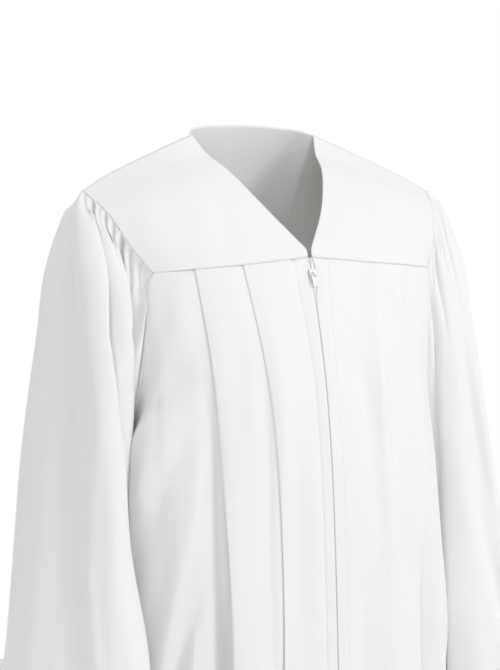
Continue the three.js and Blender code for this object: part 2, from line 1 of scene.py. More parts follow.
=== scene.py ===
# Choir robe: white cloth shells, gathered sleeves, a front zip with its teeth, and the sewing.
# The robe's own sizes are in millimetres and become metres when a mesh is made.
import math

import bpy
import numpy as np
from mathutils import Matrix, Vector


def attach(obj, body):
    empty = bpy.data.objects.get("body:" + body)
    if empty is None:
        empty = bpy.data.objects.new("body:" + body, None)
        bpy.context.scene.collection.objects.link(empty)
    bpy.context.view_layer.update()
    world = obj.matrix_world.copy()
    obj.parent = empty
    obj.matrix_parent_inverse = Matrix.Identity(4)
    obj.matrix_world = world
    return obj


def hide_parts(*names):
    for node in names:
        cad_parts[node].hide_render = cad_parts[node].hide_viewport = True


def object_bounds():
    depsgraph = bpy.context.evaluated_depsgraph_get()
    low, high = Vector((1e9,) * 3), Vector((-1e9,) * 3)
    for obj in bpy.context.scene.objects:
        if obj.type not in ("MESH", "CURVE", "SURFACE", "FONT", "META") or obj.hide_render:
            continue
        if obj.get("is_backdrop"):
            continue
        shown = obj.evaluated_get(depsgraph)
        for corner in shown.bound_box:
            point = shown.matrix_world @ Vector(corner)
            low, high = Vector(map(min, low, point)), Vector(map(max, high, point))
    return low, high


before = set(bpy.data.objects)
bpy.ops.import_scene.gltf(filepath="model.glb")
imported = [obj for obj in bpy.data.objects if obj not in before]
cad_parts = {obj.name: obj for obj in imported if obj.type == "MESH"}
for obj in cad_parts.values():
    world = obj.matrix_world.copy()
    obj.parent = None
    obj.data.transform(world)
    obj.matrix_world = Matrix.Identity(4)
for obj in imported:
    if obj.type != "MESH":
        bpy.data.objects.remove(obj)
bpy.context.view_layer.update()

MM = 0.001
RIGHT, LEFT = -1, 1
SIDE_WORD = {RIGHT: "right", LEFT: "left"}

# The robe's driving sizes
CLOTH = 0.6
HEM_Z = -1300
CUFF_Z = -690
YOKE_DROP = 0.6
SEAM_GAP = 0.3
YOKE_CORNER_X = 168
PLEAT_TUCK = 14
PLEAT_LAYER = 1.5
SOFT_PLEATS = 0.6
PLEAT_SLOT = 0.3
PLACKET_STEP = {RIGHT: 1.7, LEFT: 0.6}
BACK_SEAM_Z = -150
TAPE_WIDTH = 11
TAPE_END_SHARE = 0.9

# Body outline down the robe: half width, depth in front and behind, and how square it is
BODY = dict(
    z=[-130, -245, -335, -440, -565, -700, -900, -1100, -1300],
    half=[198, 184, 177, 179, 183, 187, 226, 268, 300],
    front=[106, 138, 153, 162, 169, 176, 190, 208, 226],
    back=[90, 104, 108, 112, 120, 134, 165, 192, 214],
    square=[2.6, 2.6, 2.8, 3.2, 3.3, 3.0, 2.5, 2.3, 2.2],
)
# Distances of the pleats and of the yoke corner from the centre, down the front and the back
FRONT_LINES = dict(
    z=[-130, -240, -345, -565, -900, -1300],
    placket=[22, 14, 13, 13, 13, 13],
    inner=[79, 67, 62, 63, 78, 98],
    outer=[130, 121, 119, 117, 140, 182],
    corner=[168, 158, 153, 152, 186, 240],
)
BACK_LINES = dict(
    z=[-130, -345, -565, -900, -1300],
    inner=[58, 56, 60, 76, 98],
    outer=[112, 108, 112, 142, 184],
    corner=[168, 152, 150, 186, 240],
)
# How far the cloth behind each pleat sinks as the pleat opens towards the hem
PLEAT_OPENING = dict(
    z=[-130, -300, -440, -565, -900, -1300],
    inner=[0, 0.4, 1.2, 3, 12, 26],
    outer=[0, 3.6, 13, 23, 30, 36],
    side=[0, 5, 9, 12, 20, 30],
)
# Waves between the yoke corner and the side seam: their places, how deep each is, and for which panel
SIDE_WAVES = dict(share=[0.2, 0.4, 0.58, 0.78, 1], trough=[0.9, 0.1, 0.75, 0, 0.35])
SIDE_DEPTH = {(RIGHT, "front"): 0.06, (LEFT, "front"): 0.7, (RIGHT, "back"): 0.8, (LEFT, "back"): 1}
SIDE_SEAM_DEPTH = 0.5
# Edges: gap between the fronts, the armhole round the side, and the yoke seam
FRONT_EDGE = dict(z=[-130, -140, -157, -179, -215, -1300], gap=[2.6, 5.0, 5.0, 1.2, 0.9, 0.9])
ARMHOLE = dict(z=[-146, -174, -212, -252, -286, -312, -322], angle=[35.1, 32, 26.5, 21, 15, 7.5, 0])
FRONT_SEAM = dict(x=[0, 79, 130, YOKE_CORNER_X], height=[-131, -138, -142, -146])

# Yoke edges of one side, as distance from the centre, depth and height
NECKLINE = [(76, 20, 0), (68, 2, -20), (58, -30, -39), (40, -63, -70), (27, -80, -90), (13, -94, -109),
            (2.6, -104.5, -124)]
SHOULDER = [(76, 20, 0), (130, 15, -22), (181, 9, -44), (213, 3, -61)]
FRONT_ARM_EDGE = [(213, 3, -61), (200, -34, -85), (185, -58, -120)]
BACK_ARM_EDGE = [(213, 3, -61), (202, 34, -90), (186, 52, -122)]
NAPE = [(76, 20, 0), (66, 42, 6), (40, 58, 10), (0, 64, 12)]
YOKE_BULGE = 5
NAPE_BULGE = 9

# Sleeve outline down the arm
SLEEVE = dict(
    z=[-60, -130, -200, -335, -440, -555, -690],
    mid=[196, 203, 211, 226, 234, 242, 254],
    y=[2, 2, 3, 2, -4, -16, -26],
    across=[30, 44, 44, 44, 47, 51, 61],
    deep=[36, 60, 72, 88, 101, 122, 144],
)
# Which way round the arm (0 outside, 90 in front) each place along the armhole hangs
LOOP = dict(
    share=[0, 0.022, 0.053, 0.12, 0.168, 0.218, 0.27, 0.315, 0.36, 0.5, 0.64, 0.74, 0.84, 0.92, 0.97, 1],
    turn=[48, 66, 78, 90, 98, 108, 118, 126, 134, 180, 230, 256, 280, 304, 346, 408],
)
CAP_REACH = 130
UNDERARM_REACH = 75


def mix(a, b, share):
    return a + (b - a) * share


def smooth(share):
    share = np.clip(share, 0, 1)
    return share * share * (3 - 2 * share)


def column(table, name, z):
    """One column of a table at a height, along a smooth curve through its rows."""
    heights = np.array(table["z"], float)
    values = np.array(table[name], float)
    z = np.clip(np.asarray(z, float), heights[-1], heights[0])
    last = len(heights) - 1
    row = np.clip(np.searchsorted(-heights, -z, side="right") - 1, 0, last - 1)
    span = heights[row + 1] - heights[row]
    share = (z - heights[row]) / span

    def slope(one, two):
        run = heights[two] - heights[one]
        return (values[two] - values[one]) / np.where(run == 0, 1, run) * span

    start = slope(np.maximum(row - 1, 0), row + 1)
    end = slope(row, np.minimum(row + 2, last))
    square, cube = share ** 2, share ** 3
    return ((2 * cube - 3 * square + 1) * values[row] + (cube - 2 * square + share) * start
            + (3 * square - 2 * cube) * values[row + 1] + (cube - square) * end)


def angle_at(distance, z):
    """Angle round the body at a distance from the centre: 0 at the side, a right angle at the centre."""
    ratio = np.clip(np.asarray(distance, float) / column(BODY, "half", z), 0, 1)
    return np.arccos(np.clip(ratio ** (column(BODY, "square", z) / 2), 0, 1))


def outline(side, face, angle, z):
    """A point of the body's outline at an angle and a height."""
    power = 2 / column(BODY, "square", z)
    depth = -column(BODY, "front", z) if face == "front" else column(BODY, "back", z)
    across = np.maximum(np.cos(angle), 0) ** power * column(BODY, "half", z)
    forward = np.maximum(np.sin(angle), 0) ** power * depth
    return np.stack(np.broadcast_arrays(side * across, forward, z), axis=-1).astype(float)


def on_body(side, face, angle, z, along=0.0, deep=0.0):
    """A point of the cloth, moved along the outline and in behind it."""
    step = 0.02
    centreward = outline(side, face, np.minimum(angle + step, math.pi / 2), z)
    sideward = outline(side, face, np.maximum(angle - step, 0.004), z)
    way = (sideward - centreward)[..., :2]
    way /= np.linalg.norm(way, axis=-1, keepdims=True)
    out = np.stack([way[..., 1], -way[..., 0]], axis=-1)
    centre = outline(side, face, np.maximum(angle, 0.05), z)[..., :2]
    out *= np.where((out * centre).sum(-1, keepdims=True) < 0, -1, 1)
    point = outline(side, face, angle, z)
    point[..., :2] += way * np.expand_dims(along, -1) - out * np.expand_dims(deep, -1)
    return point


def slide(side, face, angle, z, along):
    """The angle that lies a given way along the outline, towards the side, from another angle."""
    steps = 5
    for _ in range(steps):
        ahead, behind = outline(side, face, angle + 0.01, z), outline(side, face, angle - 0.01, z)
        angle = angle - along / steps / (np.linalg.norm(ahead - behind, axis=-1) / 0.02)
    return angle


def seam_height(face, distance):
    """Height of the yoke seam at a distance from the centre."""
    if face == "back":
        return np.full(np.shape(distance), float(BACK_SEAM_Z))
    rows = dict(z=[-value for value in FRONT_SEAM["x"]], height=FRONT_SEAM["height"])
    return column(rows, "height", -np.asarray(distance, float))


def lengths_along(points):
    """How far along a line each of its points lies."""
    return np.concatenate([[0], np.cumsum(np.linalg.norm(np.diff(points, axis=0), axis=1))])


def curve_through(rows, side):
    """A smooth curve through rows of x, y and z, read by the share of its length."""
    knots = np.array([(side * x, y, z) for x, y, z in rows], float)
    padded = np.vstack([2 * knots[0] - knots[1], knots, 2 * knots[-1] - knots[-2]])
    dense = []
    for index in range(len(knots) - 1):
        p0, p1, p2, p3 = padded[index:index + 4]
        gaps = [max(np.linalg.norm(b - a) ** 0.5, 1e-6) for a, b in ((p0, p1), (p1, p2), (p2, p3))]
        start = (p1 - p0) / gaps[0] - (p2 - p0) / (gaps[0] + gaps[1]) + (p2 - p1) / gaps[1]
        end = (p2 - p1) / gaps[1] - (p3 - p1) / (gaps[1] + gaps[2]) + (p3 - p2) / gaps[2]
        start, end = start * gaps[1], end * gaps[1]
        t = np.linspace(0, 1, 40)[:, None]
        dense.append((2 * t ** 3 - 3 * t ** 2 + 1) * p1 + (t ** 3 - 2 * t ** 2 + t) * start
                     + (3 * t ** 2 - 2 * t ** 3) * p2 + (t ** 3 - t ** 2) * end)
    dense = np.vstack(dense)
    lengths = lengths_along(dense)
    lengths /= lengths[-1]

    def place(share):
        share = np.clip(share, 0, 1)
        return np.stack([np.interp(share, lengths, dense[:, axis]) for axis in range(3)], axis=-1)

    return place


def out_of_body(points):
    """Horizontal directions straight out of the body at points near its outline."""
    z = np.clip(points[..., 2], HEM_Z, -130)
    depth = np.where(points[..., 1] < 0, column(BODY, "front", z), column(BODY, "back", z))
    way = np.zeros_like(points)
    way[..., 0] = points[..., 0] / column(BODY, "half", z) ** 2
    way[..., 1] = points[..., 1] / depth ** 2
    return way / np.maximum(np.linalg.norm(way, axis=-1, keepdims=True), 1e-9)


# Folds laid one by one. Each runs through rows of angle round the body and height; depth is how far it rises,
# or sinks where it is negative, and lean makes its slope towards the wearer's right gentler.
FRONT_FOLDS = {
    RIGHT: [
        dict(path=[(57, -150), (57, -240), (57, -330), (60, -430), (66, -560), (68, -900)],
             width=15, depth=3.5, lean=-0.2),
        dict(path=[(51, -235), (51, -296), (51.4, -360), (54, -458), (57, -549), (60, -700)],
             width=8, depth=-5, lean=0),
        dict(path=[(46, -160), (43, -205), (36, -228), (26, -246)], width=14, depth=2.5, lean=0.2),
        dict(path=[(48, -238), (38, -262), (26, -285), (14, -300)], width=13, depth=-3.5, lean=0),
        dict(path=[(43, -285), (33, -318), (21, -356), (12, -400)], width=14, depth=3.5, lean=0.3),
        dict(path=[(46, -288), (36, -335), (24, -396), (16, -445), (10, -500)], width=14, depth=-4, lean=0),
        dict(path=[(51, -300), (45.4, -377), (39.7, -439), (33, -500), (26, -590), (22, -720)],
             width=11, depth=6, lean=0.4),
        dict(path=[(50, -430), (46, -474), (40, -515), (32, -570), (26, -680)],
             width=9, depth=-5, lean=0.2),
        dict(path=[(48, -560), (40, -680), (33, -860), (30, -1080)], width=17, depth=7, lean=0.3),
        dict(path=[(20, -225), (18, -330), (15, -420), (14, -520), (14, -640)],
             width=42, depth=22, lean=0),
        dict(path=[(73, -200), (73.5, -297), (74.4, -378), (76, -480), (77, -640)],
             width=8, depth=-3, lean=0.4),
        dict(path=[(77, -150), (78, -240), (78, -310), (80, -430), (81, -600)],
             width=10, depth=2.5, lean=-0.2),
        dict(path=[(65, -180), (66, -280), (68, -420)], width=16, depth=-1.6, lean=0),
        dict(path=[(83, -260), (83, -400), (84, -620)], width=14, depth=-1.4, lean=0),
        dict(path=[(84, -700), (83, -900), (82, -1270)], width=18, depth=4, lean=0),
        dict(path=[(63, -760), (60, -960), (57, -1290)], width=24, depth=5, lean=0.2),
        dict(path=[(22, -700), (20, -900), (19, -1200)], width=18, depth=-6, lean=0),
    ],
    LEFT: [
        dict(path=[(77, -133), (74.5, -167), (72.8, -209), (72.2, -251), (74, -335), (77.5, -493),
                   (79, -700)],
             width=9, depth=5, lean=0.2),
        dict(path=[(69, -190), (67, -260), (69, -340), (72, -480), (73, -640)],
             width=12, depth=-4.5, lean=0),
        dict(path=[(70, -136), (62, -175), (54, -215), (46, -262)], width=10, depth=4, lean=0),
        dict(path=[(60, -148), (54, -178), (46, -212)], width=9, depth=-3, lean=0),
        dict(path=[(84, -215), (81, -250), (78, -300), (77, -350)], width=13, depth=-2.6, lean=0),
        dict(path=[(67, -392), (61, -499), (58, -600), (55, -760)], width=18, depth=-6, lean=0.2),
        dict(path=[(52, -300), (50, -420), (46, -560), (43, -760)], width=14, depth=5, lean=-0.2),
        dict(path=[(36, -240), (32, -360), (26, -500)], width=14, depth=-3, lean=0),
        dict(path=[(24, -260), (20, -400), (18, -520), (16, -640)], width=30, depth=9, lean=0),
        dict(path=[(86, -420), (86, -560), (85, -760)], width=12, depth=-1.8, lean=0),
        dict(path=[(83, -700), (82, -900), (80, -1280)], width=20, depth=4, lean=0.2),
        dict(path=[(66, -760), (64, -1000), (62, -1290)], width=22, depth=6, lean=0),
        dict(path=[(30, -700), (28, -940), (26, -1270)], width=20, depth=-7, lean=0),
    ],
}
BACK_FOLDS = {
    RIGHT: [
        dict(path=[(14, -240), (16, -340), (18, -430), (18, -520), (18, -640)], width=40, depth=20, lean=0),
        dict(path=[(84, -160), (83, -300), (82, -520), (80, -760)], width=15, depth=-3.5, lean=0.2),
        dict(path=[(66, -160), (65, -330), (64, -560), (62, -900)], width=13, depth=4, lean=-0.2),
        dict(path=[(50, -170), (50, -300), (48, -470)], width=11, depth=-4, lean=0),
        dict(path=[(40, -190), (34, -300), (28, -430), (22, -600)], width=13, depth=5, lean=0.3),
        dict(path=[(28, -240), (20, -360), (12, -500)], width=12, depth=-5, lean=0),
        dict(path=[(56, -520), (54, -760), (50, -1100)], width=18, depth=-5, lean=0),
        dict(path=[(80, -700), (78, -960), (76, -1290)], width=24, depth=6, lean=0),
        dict(path=[(36, -640), (33, -900), (30, -1250)], width=20, depth=6, lean=0.2),
    ],
    LEFT: [
        dict(path=[(82, -160), (81, -260), (82, -460), (84, -700)], width=13, depth=3, lean=0.2),
        dict(path=[(70, -160), (68, -360), (67, -620), (66, -860)], width=14, depth=-3.6, lean=-0.2),
        dict(path=[(52, -168), (49, -320), (46, -520)], width=12, depth=4.5, lean=0),
        dict(path=[(38, -200), (35, -320), (30, -500), (26, -700)], width=12, depth=-5, lean=0.2),
        dict(path=[(24, -250), (20, -400), (16, -560)], width=12, depth=5, lean=0),
        dict(path=[(58, -620), (55, -860), (52, -1180)], width=20, depth=6, lean=0),
        dict(path=[(84, -760), (82, -1000), (80, -1290)], width=22, depth=-6, lean=0),
        dict(path=[(34, -700), (32, -1000), (30, -1270)], width=22, depth=-7, lean=0.2),
    ],
}


def body_fold_lines():
    """Every fold of the body as a dense line with its own way down, sideways direction and taper."""
    lines = []
    for face, table in (("front", FRONT_FOLDS), ("back", BACK_FOLDS)):
        for side, folds in table.items():
            for fold in folds:
                angles, heights = np.array(fold["path"], float).T
                z = np.linspace(heights[0], heights[-1], 60)
                angle = np.interp(-z, -heights, angles)
                kernel = np.ones(9) / 9
                angle = np.convolve(np.pad(angle, 4, mode="edge"), kernel, mode="valid")
                lines.append((outline(side, face, np.radians(angle), z), fold))
    return lines


def push_of_folds(points, lines):
    """How far folds push each point of the body outwards."""
    push = np.zeros(len(points))
    for line, fold in lines:
        reach = fold["width"] * 3
        near = np.all((points > line.min(0) - reach) & (points < line.max(0) + reach), axis=1)
        if not near.any():
            continue
        place = points[near]
        tangents = np.gradient(line, axis=0)
        tangents /= np.linalg.norm(tangents, axis=1, keepdims=True)
        nearest = np.argmin(((place[:, None, :] - line[None]) ** 2).sum(-1), axis=1)
        tangent = tangents[nearest]
        offset = place - line[nearest]
        past = (offset * tangent).sum(1)
        outward = out_of_body(place)
        sideways = np.cross(tangent, outward)
        lateral = (offset * sideways).sum(1)
        sunk = (offset * outward).sum(1)
        width = fold["width"] * np.where(lateral > 0, 1 + fold["lean"], 1 - fold["lean"])
        step = np.linalg.norm(np.diff(line, axis=0), axis=1).mean()
        run = (nearest + past / step) / (len(line) - 1)
        taper = smooth(np.minimum(run / 0.3, (1 - run) / 0.3) + 0.08)
        push[near] += fold["depth"] * taper * np.exp(-(lateral / width) ** 2 - (sunk / 60) ** 2)
    return push


def waver(points):
    """Slow unevenness of cloth that hangs free, in millimetres."""
    turn = np.arctan2(points[:, 1], points[:, 0])
    z = points[:, 2]
    value = np.zeros(len(points))
    for turns, drop, phase, size in ((7, 410, 0.4, 0.9), (11, -690, 2.1, 0.7), (17, 530, 4.0, 0.5),
                                     (23, -350, 1.2, 0.35), (5, 260, 5.2, 0.6), (31, 900, 0.7, 0.3)):
        value += size * np.sin(turns * turn + 2 * math.pi * z / drop + phase)
    return value * smooth((-z - 150) / 200) * (1 + smooth((-z - 600) / 500))


FOLD_LINES = body_fold_lines()


def settle(grid):
    """The same folds for every piece of the body, so that pieces that lie together stay together."""
    points = grid.reshape(-1, 3)
    push = push_of_folds(points, FOLD_LINES) + waver(points)
    calm = smooth((np.abs(points[:, 0]) - 3) / 30)
    calm = np.where(points[:, 1] < 0, calm, 1)
    calm = calm * smooth((-points[:, 2] - 136) / 30)
    for edge in ARMHOLE_LINES:
        near = np.all((points > edge.min(0) - 30) & (points < edge.max(0) + 30), axis=1)
        apart = np.sqrt(((points[near][:, None] - edge[None]) ** 2).sum(-1)).min(axis=1)
        calm[near] *= smooth((apart - 2) / 24)
    return (points + out_of_body(points) * (push * calm)[:, None]).reshape(grid.shape)


def pleat_layers(opening, flush):
    """Where a pleat's layers lie from its edge: along the cloth, and in behind it."""
    wide = smooth(opening / 24)
    back = PLEAT_TUCK * (1 - 0.75 * wide)
    under = PLEAT_LAYER + PLEAT_SLOT
    shown = mix(1, 0.15, flush) * under
    return [
        (-5 + 0 * wide, 0 * wide),
        (-0.6 + 0 * wide, 0.05 + 0 * wide),
        (0 * wide, PLEAT_LAYER / 2 + 0 * wide),
        (-0.6 + 0 * wide, PLEAT_LAYER + 0 * wide),
        (-back, PLEAT_LAYER + opening),
        (-back + 5 * wide, under + opening * 1.04),
        (mix(0.9, 11, wide), mix(0.96 * shown + 0.5 * opening, under + opening * 0.8, wide)),
        (mix(8, 26, wide), mix(0.5, 0.34, wide) * (shown + opening)),
        (mix(20, 40, wide), 0.05 * (under + opening)),
    ]


def armhole_edge(face, share):
    """Height and angle of the armhole's edge, from the yoke's corner down to the side seam."""
    corner = float(seam_height(face, YOKE_CORNER_X))
    z = mix(corner, float(ARMHOLE["z"][-1]), np.sin(share * math.pi / 2) ** 0.9)
    return z, np.radians(column(ARMHOLE, "angle", z))


def armhole_lines():
    """The four edges of the armholes below the yoke, which stay where the sleeves are sewn to them."""
    lines = []
    for side in (RIGHT, LEFT):
        for face in ("front", "back"):
            z, angle = armhole_edge(face, np.linspace(0, 1, 60))
            lines.append(outline(side, face, angle, z))
    return lines


ARMHOLE_LINES = armhole_lines()


# Rows of a panel: shares of the way from the seam to the hem, closer together near the seam
PANEL_ROWS = np.concatenate([[0, 0.0008, 0.002, 0.004, 0.008], np.linspace(0.013, 0.33, 56),
                             np.linspace(0.34, 1, 68)])


def half_panel(side, face):
    """Courses of half a panel's columns, from the centre to the side seam, as an array of points."""
    lines = FRONT_LINES if face == "front" else BACK_LINES
    courses = []

    def at(name, z):
        return angle_at(column(lines, name, z), z)

    def from_seam(place):
        top = place(np.array([float(seam_height(face, YOKE_CORNER_X / 2))]))[0]
        top_z = float(seam_height(face, abs(top[0]))) - YOKE_DROP * 0.4
        courses.append(place(mix(top_z, HEM_Z, PANEL_ROWS)))

    def pleat(name):
        for layer in range(9):
            def place(z, layer=layer):
                opening = column(PLEAT_OPENING, name, z) * (1 if side == RIGHT else SOFT_PLEATS)
                along, deep = pleat_layers(opening, float(side == LEFT and face == "front"))[layer]
                return on_body(side, face, slide(side, face, at(name, z), z, along), z, 0 * z, deep)
            from_seam(place)

    def between(first, second, share):
        from_seam(lambda z: on_body(side, face, mix(at(first, z), at(second, z), share), z))

    def placket():
        """The folded band along the zip, from the front edge to its stitched line, and a step past it."""
        step = PLACKET_STEP[side]
        for share, along, deep in ((0, 0, 0.25), (0.12, 0, 0), (0.6, 0, step / 3), (1, 0, step),
                                   (1, 1.4, step / 4), (1, 3.5, 0)):
            def place(z, share=share, along=along, deep=deep):
                edge = angle_at(column(FRONT_EDGE, "gap", z), z)
                return on_body(side, face, mix(edge, at("placket", z), share), z, along + 0 * z, deep + 0 * z)
            from_seam(place)

    if face == "front":
        placket()
        between("placket", "inner", 0.45)
        between("placket", "inner", 0.8)
    else:
        for share in (0, 0.38, 0.76):
            def place(z, share=share):
                return on_body(side, face, mix(math.pi / 2, at("inner", z), share), z)
            from_seam(place)
    pleat("inner")
    between("inner", "outer", 0.8)
    pleat("outer")
    between("corner", "corner", 0)

    for share, trough in zip(SIDE_WAVES["share"], SIDE_WAVES["trough"]):
        start_z, start_angle = armhole_edge(face, share)
        z = mix(start_z, HEM_Z, PANEL_ROWS)
        down = np.clip((start_z - z) / (start_z - HEM_Z), 0, 1)
        hem_angle = at("corner", HEM_Z) * (1 - share) * 0.9
        angle = mix(start_angle, hem_angle, smooth(down))
        depth = SIDE_SEAM_DEPTH if share == 1 else SIDE_DEPTH[side, face]
        sunk = trough * column(PLEAT_OPENING, "side", z) * np.clip(down * 6, 0, 1) * depth
        course = on_body(side, face, np.maximum(angle, 0.004), z, 0 * z, sunk)
        if share == 1:
            course[:, 1] = (-1 if face == "front" else 1) * SEAM_GAP / 3
        courses.append(course)
    return np.array(courses)


def fill_across(courses, steps):
    """Smooth curves through the courses, with extra columns between them."""
    padded = np.concatenate([2 * courses[:1] - courses[1:2], courses, 2 * courses[-1:] - courses[-2:-1]])
    shares = np.arange(steps) / steps
    columns = []
    for index in range(len(courses) - 1):
        p0, p1, p2, p3 = padded[index:index + 4]
        gaps = [np.maximum(np.linalg.norm(b - a, axis=-1, keepdims=True) ** 0.5, 1e-6)
                for a, b in ((p0, p1), (p1, p2), (p2, p3))]
        start = ((p1 - p0) / gaps[0] - (p2 - p0) / (gaps[0] + gaps[1]) + (p2 - p1) / gaps[1]) * gaps[1]
        end = ((p2 - p1) / gaps[1] - (p3 - p1) / (gaps[1] + gaps[2]) + (p3 - p2) / gaps[2]) * gaps[1]
        for t in shares:
            columns.append((2 * t ** 3 - 3 * t ** 2 + 1) * p1 + (t ** 3 - 2 * t ** 2 + t) * start
                           + (3 * t ** 2 - 2 * t ** 3) * p2 + (t ** 3 - t ** 2) * end)
    columns.append(courses[-1])
    return np.array(columns)


def tuck_under_seam(grid):
    """Rolls the first rows of a panel in under the yoke that is sewn over it."""
    grid = grid.copy()
    outward = out_of_body(grid[:, :4])
    under_yoke = smooth((grid[:, 0, 2] + 160) / 6) * smooth((YOKE_CORNER_X - np.abs(grid[:, 0, 0])) / 12)
    under_yoke = under_yoke[:, None]
    for row, (rise, sunk) in enumerate(((1.6, 2.2), (0.9, 1.1), (0.3, 0.4), (0, 0.05))):
        grid[:, row] -= outward[:, row] * sunk * under_yoke
        grid[:, row, 2] += rise * under_yoke[:, 0]
    return grid


def armhole_share(panel_share):
    """The share of an armhole's table at a share of its length."""
    return float(np.interp(panel_share, ARMHOLE_LENGTHS, np.linspace(0, 1, 60)))


PANEL_STEPS = dict(front=8, back=6)


def make_panels():
    """The front panels and the two halves of the back one, each from its centre to the side seam."""
    panels = {}
    for side in (RIGHT, LEFT):
        courses = fill_across(half_panel(side, "front"), PANEL_STEPS["front"])
        panels[side, "front"] = tuck_under_seam(settle(courses))
    halves = [half_panel(RIGHT, "back")[::-1][:-1], half_panel(LEFT, "back")]
    whole = tuck_under_seam(settle(fill_across(np.concatenate(halves), PANEL_STEPS["back"])))
    middle = len(halves[0]) * PANEL_STEPS["back"]
    panels[RIGHT, "back"] = whole[:middle + 1][::-1]
    panels[LEFT, "back"] = whole[middle:]
    return panels


PANELS = make_panels()
ARMHOLE_LENGTHS = lengths_along(ARMHOLE_LINES[0])
ARMHOLE_LENGTHS /= ARMHOLE_LENGTHS[-1]


# ---- Yokes ----

def patch(neck_edge, arm_edge_at, shoulder_edge, seam_edge, across, down):
    """A surface between four edges; the shoulder's own bend fades fast below it."""
    s = np.linspace(0, 1, across + 1)[:, None, None]
    t = np.linspace(0, 1, down + 1)[None, :, None]
    fade = (1 - t) ** 2
    neck, arm = neck_edge(t[..., 0])[0][None], arm_edge_at(t[..., 0])[0][None]
    top, foot = shoulder_edge(s[..., 0])[:, 0][:, None], seam_edge(s[..., 0])[:, 0][:, None]
    return (neck * (1 - s) + arm * s + top * fade + foot * t
            - neck[:, :1] * (1 - s) * fade - arm[:, :1] * s * fade
            - neck[:, -1:] * (1 - s) * t - arm[:, -1:] * s * t)


def swell(grid, amount, centre):
    """Rounds a yoke out over the shoulder, most in its middle."""
    u = np.linspace(0, 1, grid.shape[0])[:, None, None]
    v = np.linspace(0, 1, grid.shape[1])[None, :, None]
    out = grid - np.array(centre, float)
    out /= np.linalg.norm(out, axis=-1, keepdims=True)
    return grid + out * 16 * amount * u * (1 - u) * v * (1 - v)


def yoke_seam(side, face):
    """The yoke's lower edge, from the centre to the corner."""
    start = float(column(FRONT_EDGE, "gap", -130)) if face == "front" else 0.0

    def place(share):
        distance = mix(start, YOKE_CORNER_X, share)
        z = seam_height(face, distance)
        return outline(side, face, angle_at(distance, z), z)

    return place


def arm_edge(side, face):
    """The yoke's edge at the arm, from the shoulder tip to the corner."""
    rows = FRONT_ARM_EDGE if face == "front" else BACK_ARM_EDGE
    corner = yoke_seam(1, face)(np.array([1.0]))[0]
    return curve_through(rows + [tuple(corner)], side)


# Soft hollows and rises of the yokes: middle (distance from the centre, height), reach each way, rise
YOKE_HOLLOWS = {
    (RIGHT, "front"): [(88, -98, 13, 34, -2.4), (112, -84, 12, 40, 1.8), (140, -100, 12, 34, -1.8),
                       (166, -96, 10, 36, 1.4), (62, -112, 10, 20, 1.2), (186, -92, 7, 26, -1.2),
                       (34, -116, 9, 14, -0.9)],
    (LEFT, "front"): [(80, -94, 12, 36, -1.6), (104, -100, 12, 30, 1.6), (134, -92, 13, 38, -2.0),
                      (160, -104, 11, 28, 1.4), (182, -94, 8, 26, -1.3), (52, -108, 10, 18, 1.1)],
    (RIGHT, "back"): [(40, -60, 18, 60, -2.0), (84, -80, 15, 50, 1.8), (122, -96, 14, 40, -2.0),
                      (158, -104, 12, 34, 1.6)],
    (LEFT, "back"): [(26, -70, 18, 50, 1.6), (66, -84, 16, 46, -2.0), (108, -90, 14, 44, 1.8),
                     (150, -106, 13, 32, -1.6)],
}


def hollow_yoke(grid, side, face):
    """Presses the hollows into a yoke, away from its edges."""
    u = np.linspace(0, 1, grid.shape[0])[:, None]
    v = np.linspace(0, 1, grid.shape[1])[None, :]
    calm = smooth(np.minimum(np.minimum(u, 1 - u) / 0.08, np.minimum(v, 1 - v) / 0.16))
    if face == "back":
        calm = calm + (1 - calm) * (u < 0.5) * smooth(np.minimum(v, 1 - v) / 0.16)
    push = np.zeros(grid.shape[:2])
    for distance, height, wide, tall, depth in YOKE_HOLLOWS[side, face]:
        push += depth * np.exp(-((side * grid[..., 0] - distance) / wide) ** 2
                               - ((grid[..., 2] - height) / tall) ** 2)
    normals = grid_normals(grid)
    outward = np.sign((normals * (grid - np.array([side * 90, 0, -190]))).sum(-1, keepdims=True))
    return grid + normals * outward * (push * calm * 0.45)[..., None]


def grid_normals(grid, wrapped=False):
    """Directions straight out of a grid's face, on the side that its rows and columns give."""
    if wrapped:
        around = np.roll(grid, -1, axis=0) - np.roll(grid, 1, axis=0)
    else:
        around = np.gradient(grid, axis=0)
    normals = np.cross(around, np.gradient(grid, axis=1))
    return normals / np.maximum(np.linalg.norm(normals, axis=-1, keepdims=True), 1e-9)


def front_yoke_grid(side):
    """A front yoke, from the neckline to the armhole and from the shoulder to the seam."""
    seam = yoke_seam(side, "front")
    foot = yoke_seam(1, "front")(np.array([0.0]))[0]
    neck = curve_through(NECKLINE + [tuple(foot)], side)
    grid = patch(neck, arm_edge(side, "front"), curve_through(SHOULDER, side), seam, 80, 64)
    grid = swell(grid, YOKE_BULGE, (side * 90, 60, -160))
    return hollow_yoke(grid, side, "front")


def back_yoke_half(side):
    """Half of the back yoke; its top runs along the nape and then along the shoulder."""
    nape, seam = curve_through(NAPE, side), yoke_seam(side, "back")
    top_middle, low_middle = nape(np.array([1.0]))[0], seam(np.array([0.0]))[0]
    shoulder = curve_through(SHOULDER, side)
    nape_share = 0.42

    def middle(share):
        point = top_middle + (low_middle - top_middle) * np.expand_dims(share, -1)
        point[..., 1] += NAPE_BULGE * np.sin(share * math.pi)
        return point

    def top(share):
        along_nape = nape(1 - share / nape_share)
        along_shoulder = shoulder((share - nape_share) / (1 - nape_share))
        return np.where(np.expand_dims(share < nape_share, -1), along_nape, along_shoulder)

    grid = patch(middle, arm_edge(side, "back"), top, seam, 90, 60)
    grid = swell(grid, YOKE_BULGE, (side * 90, -60, -160))
    return hollow_yoke(grid, side, "back")


# ---- Sleeves ----

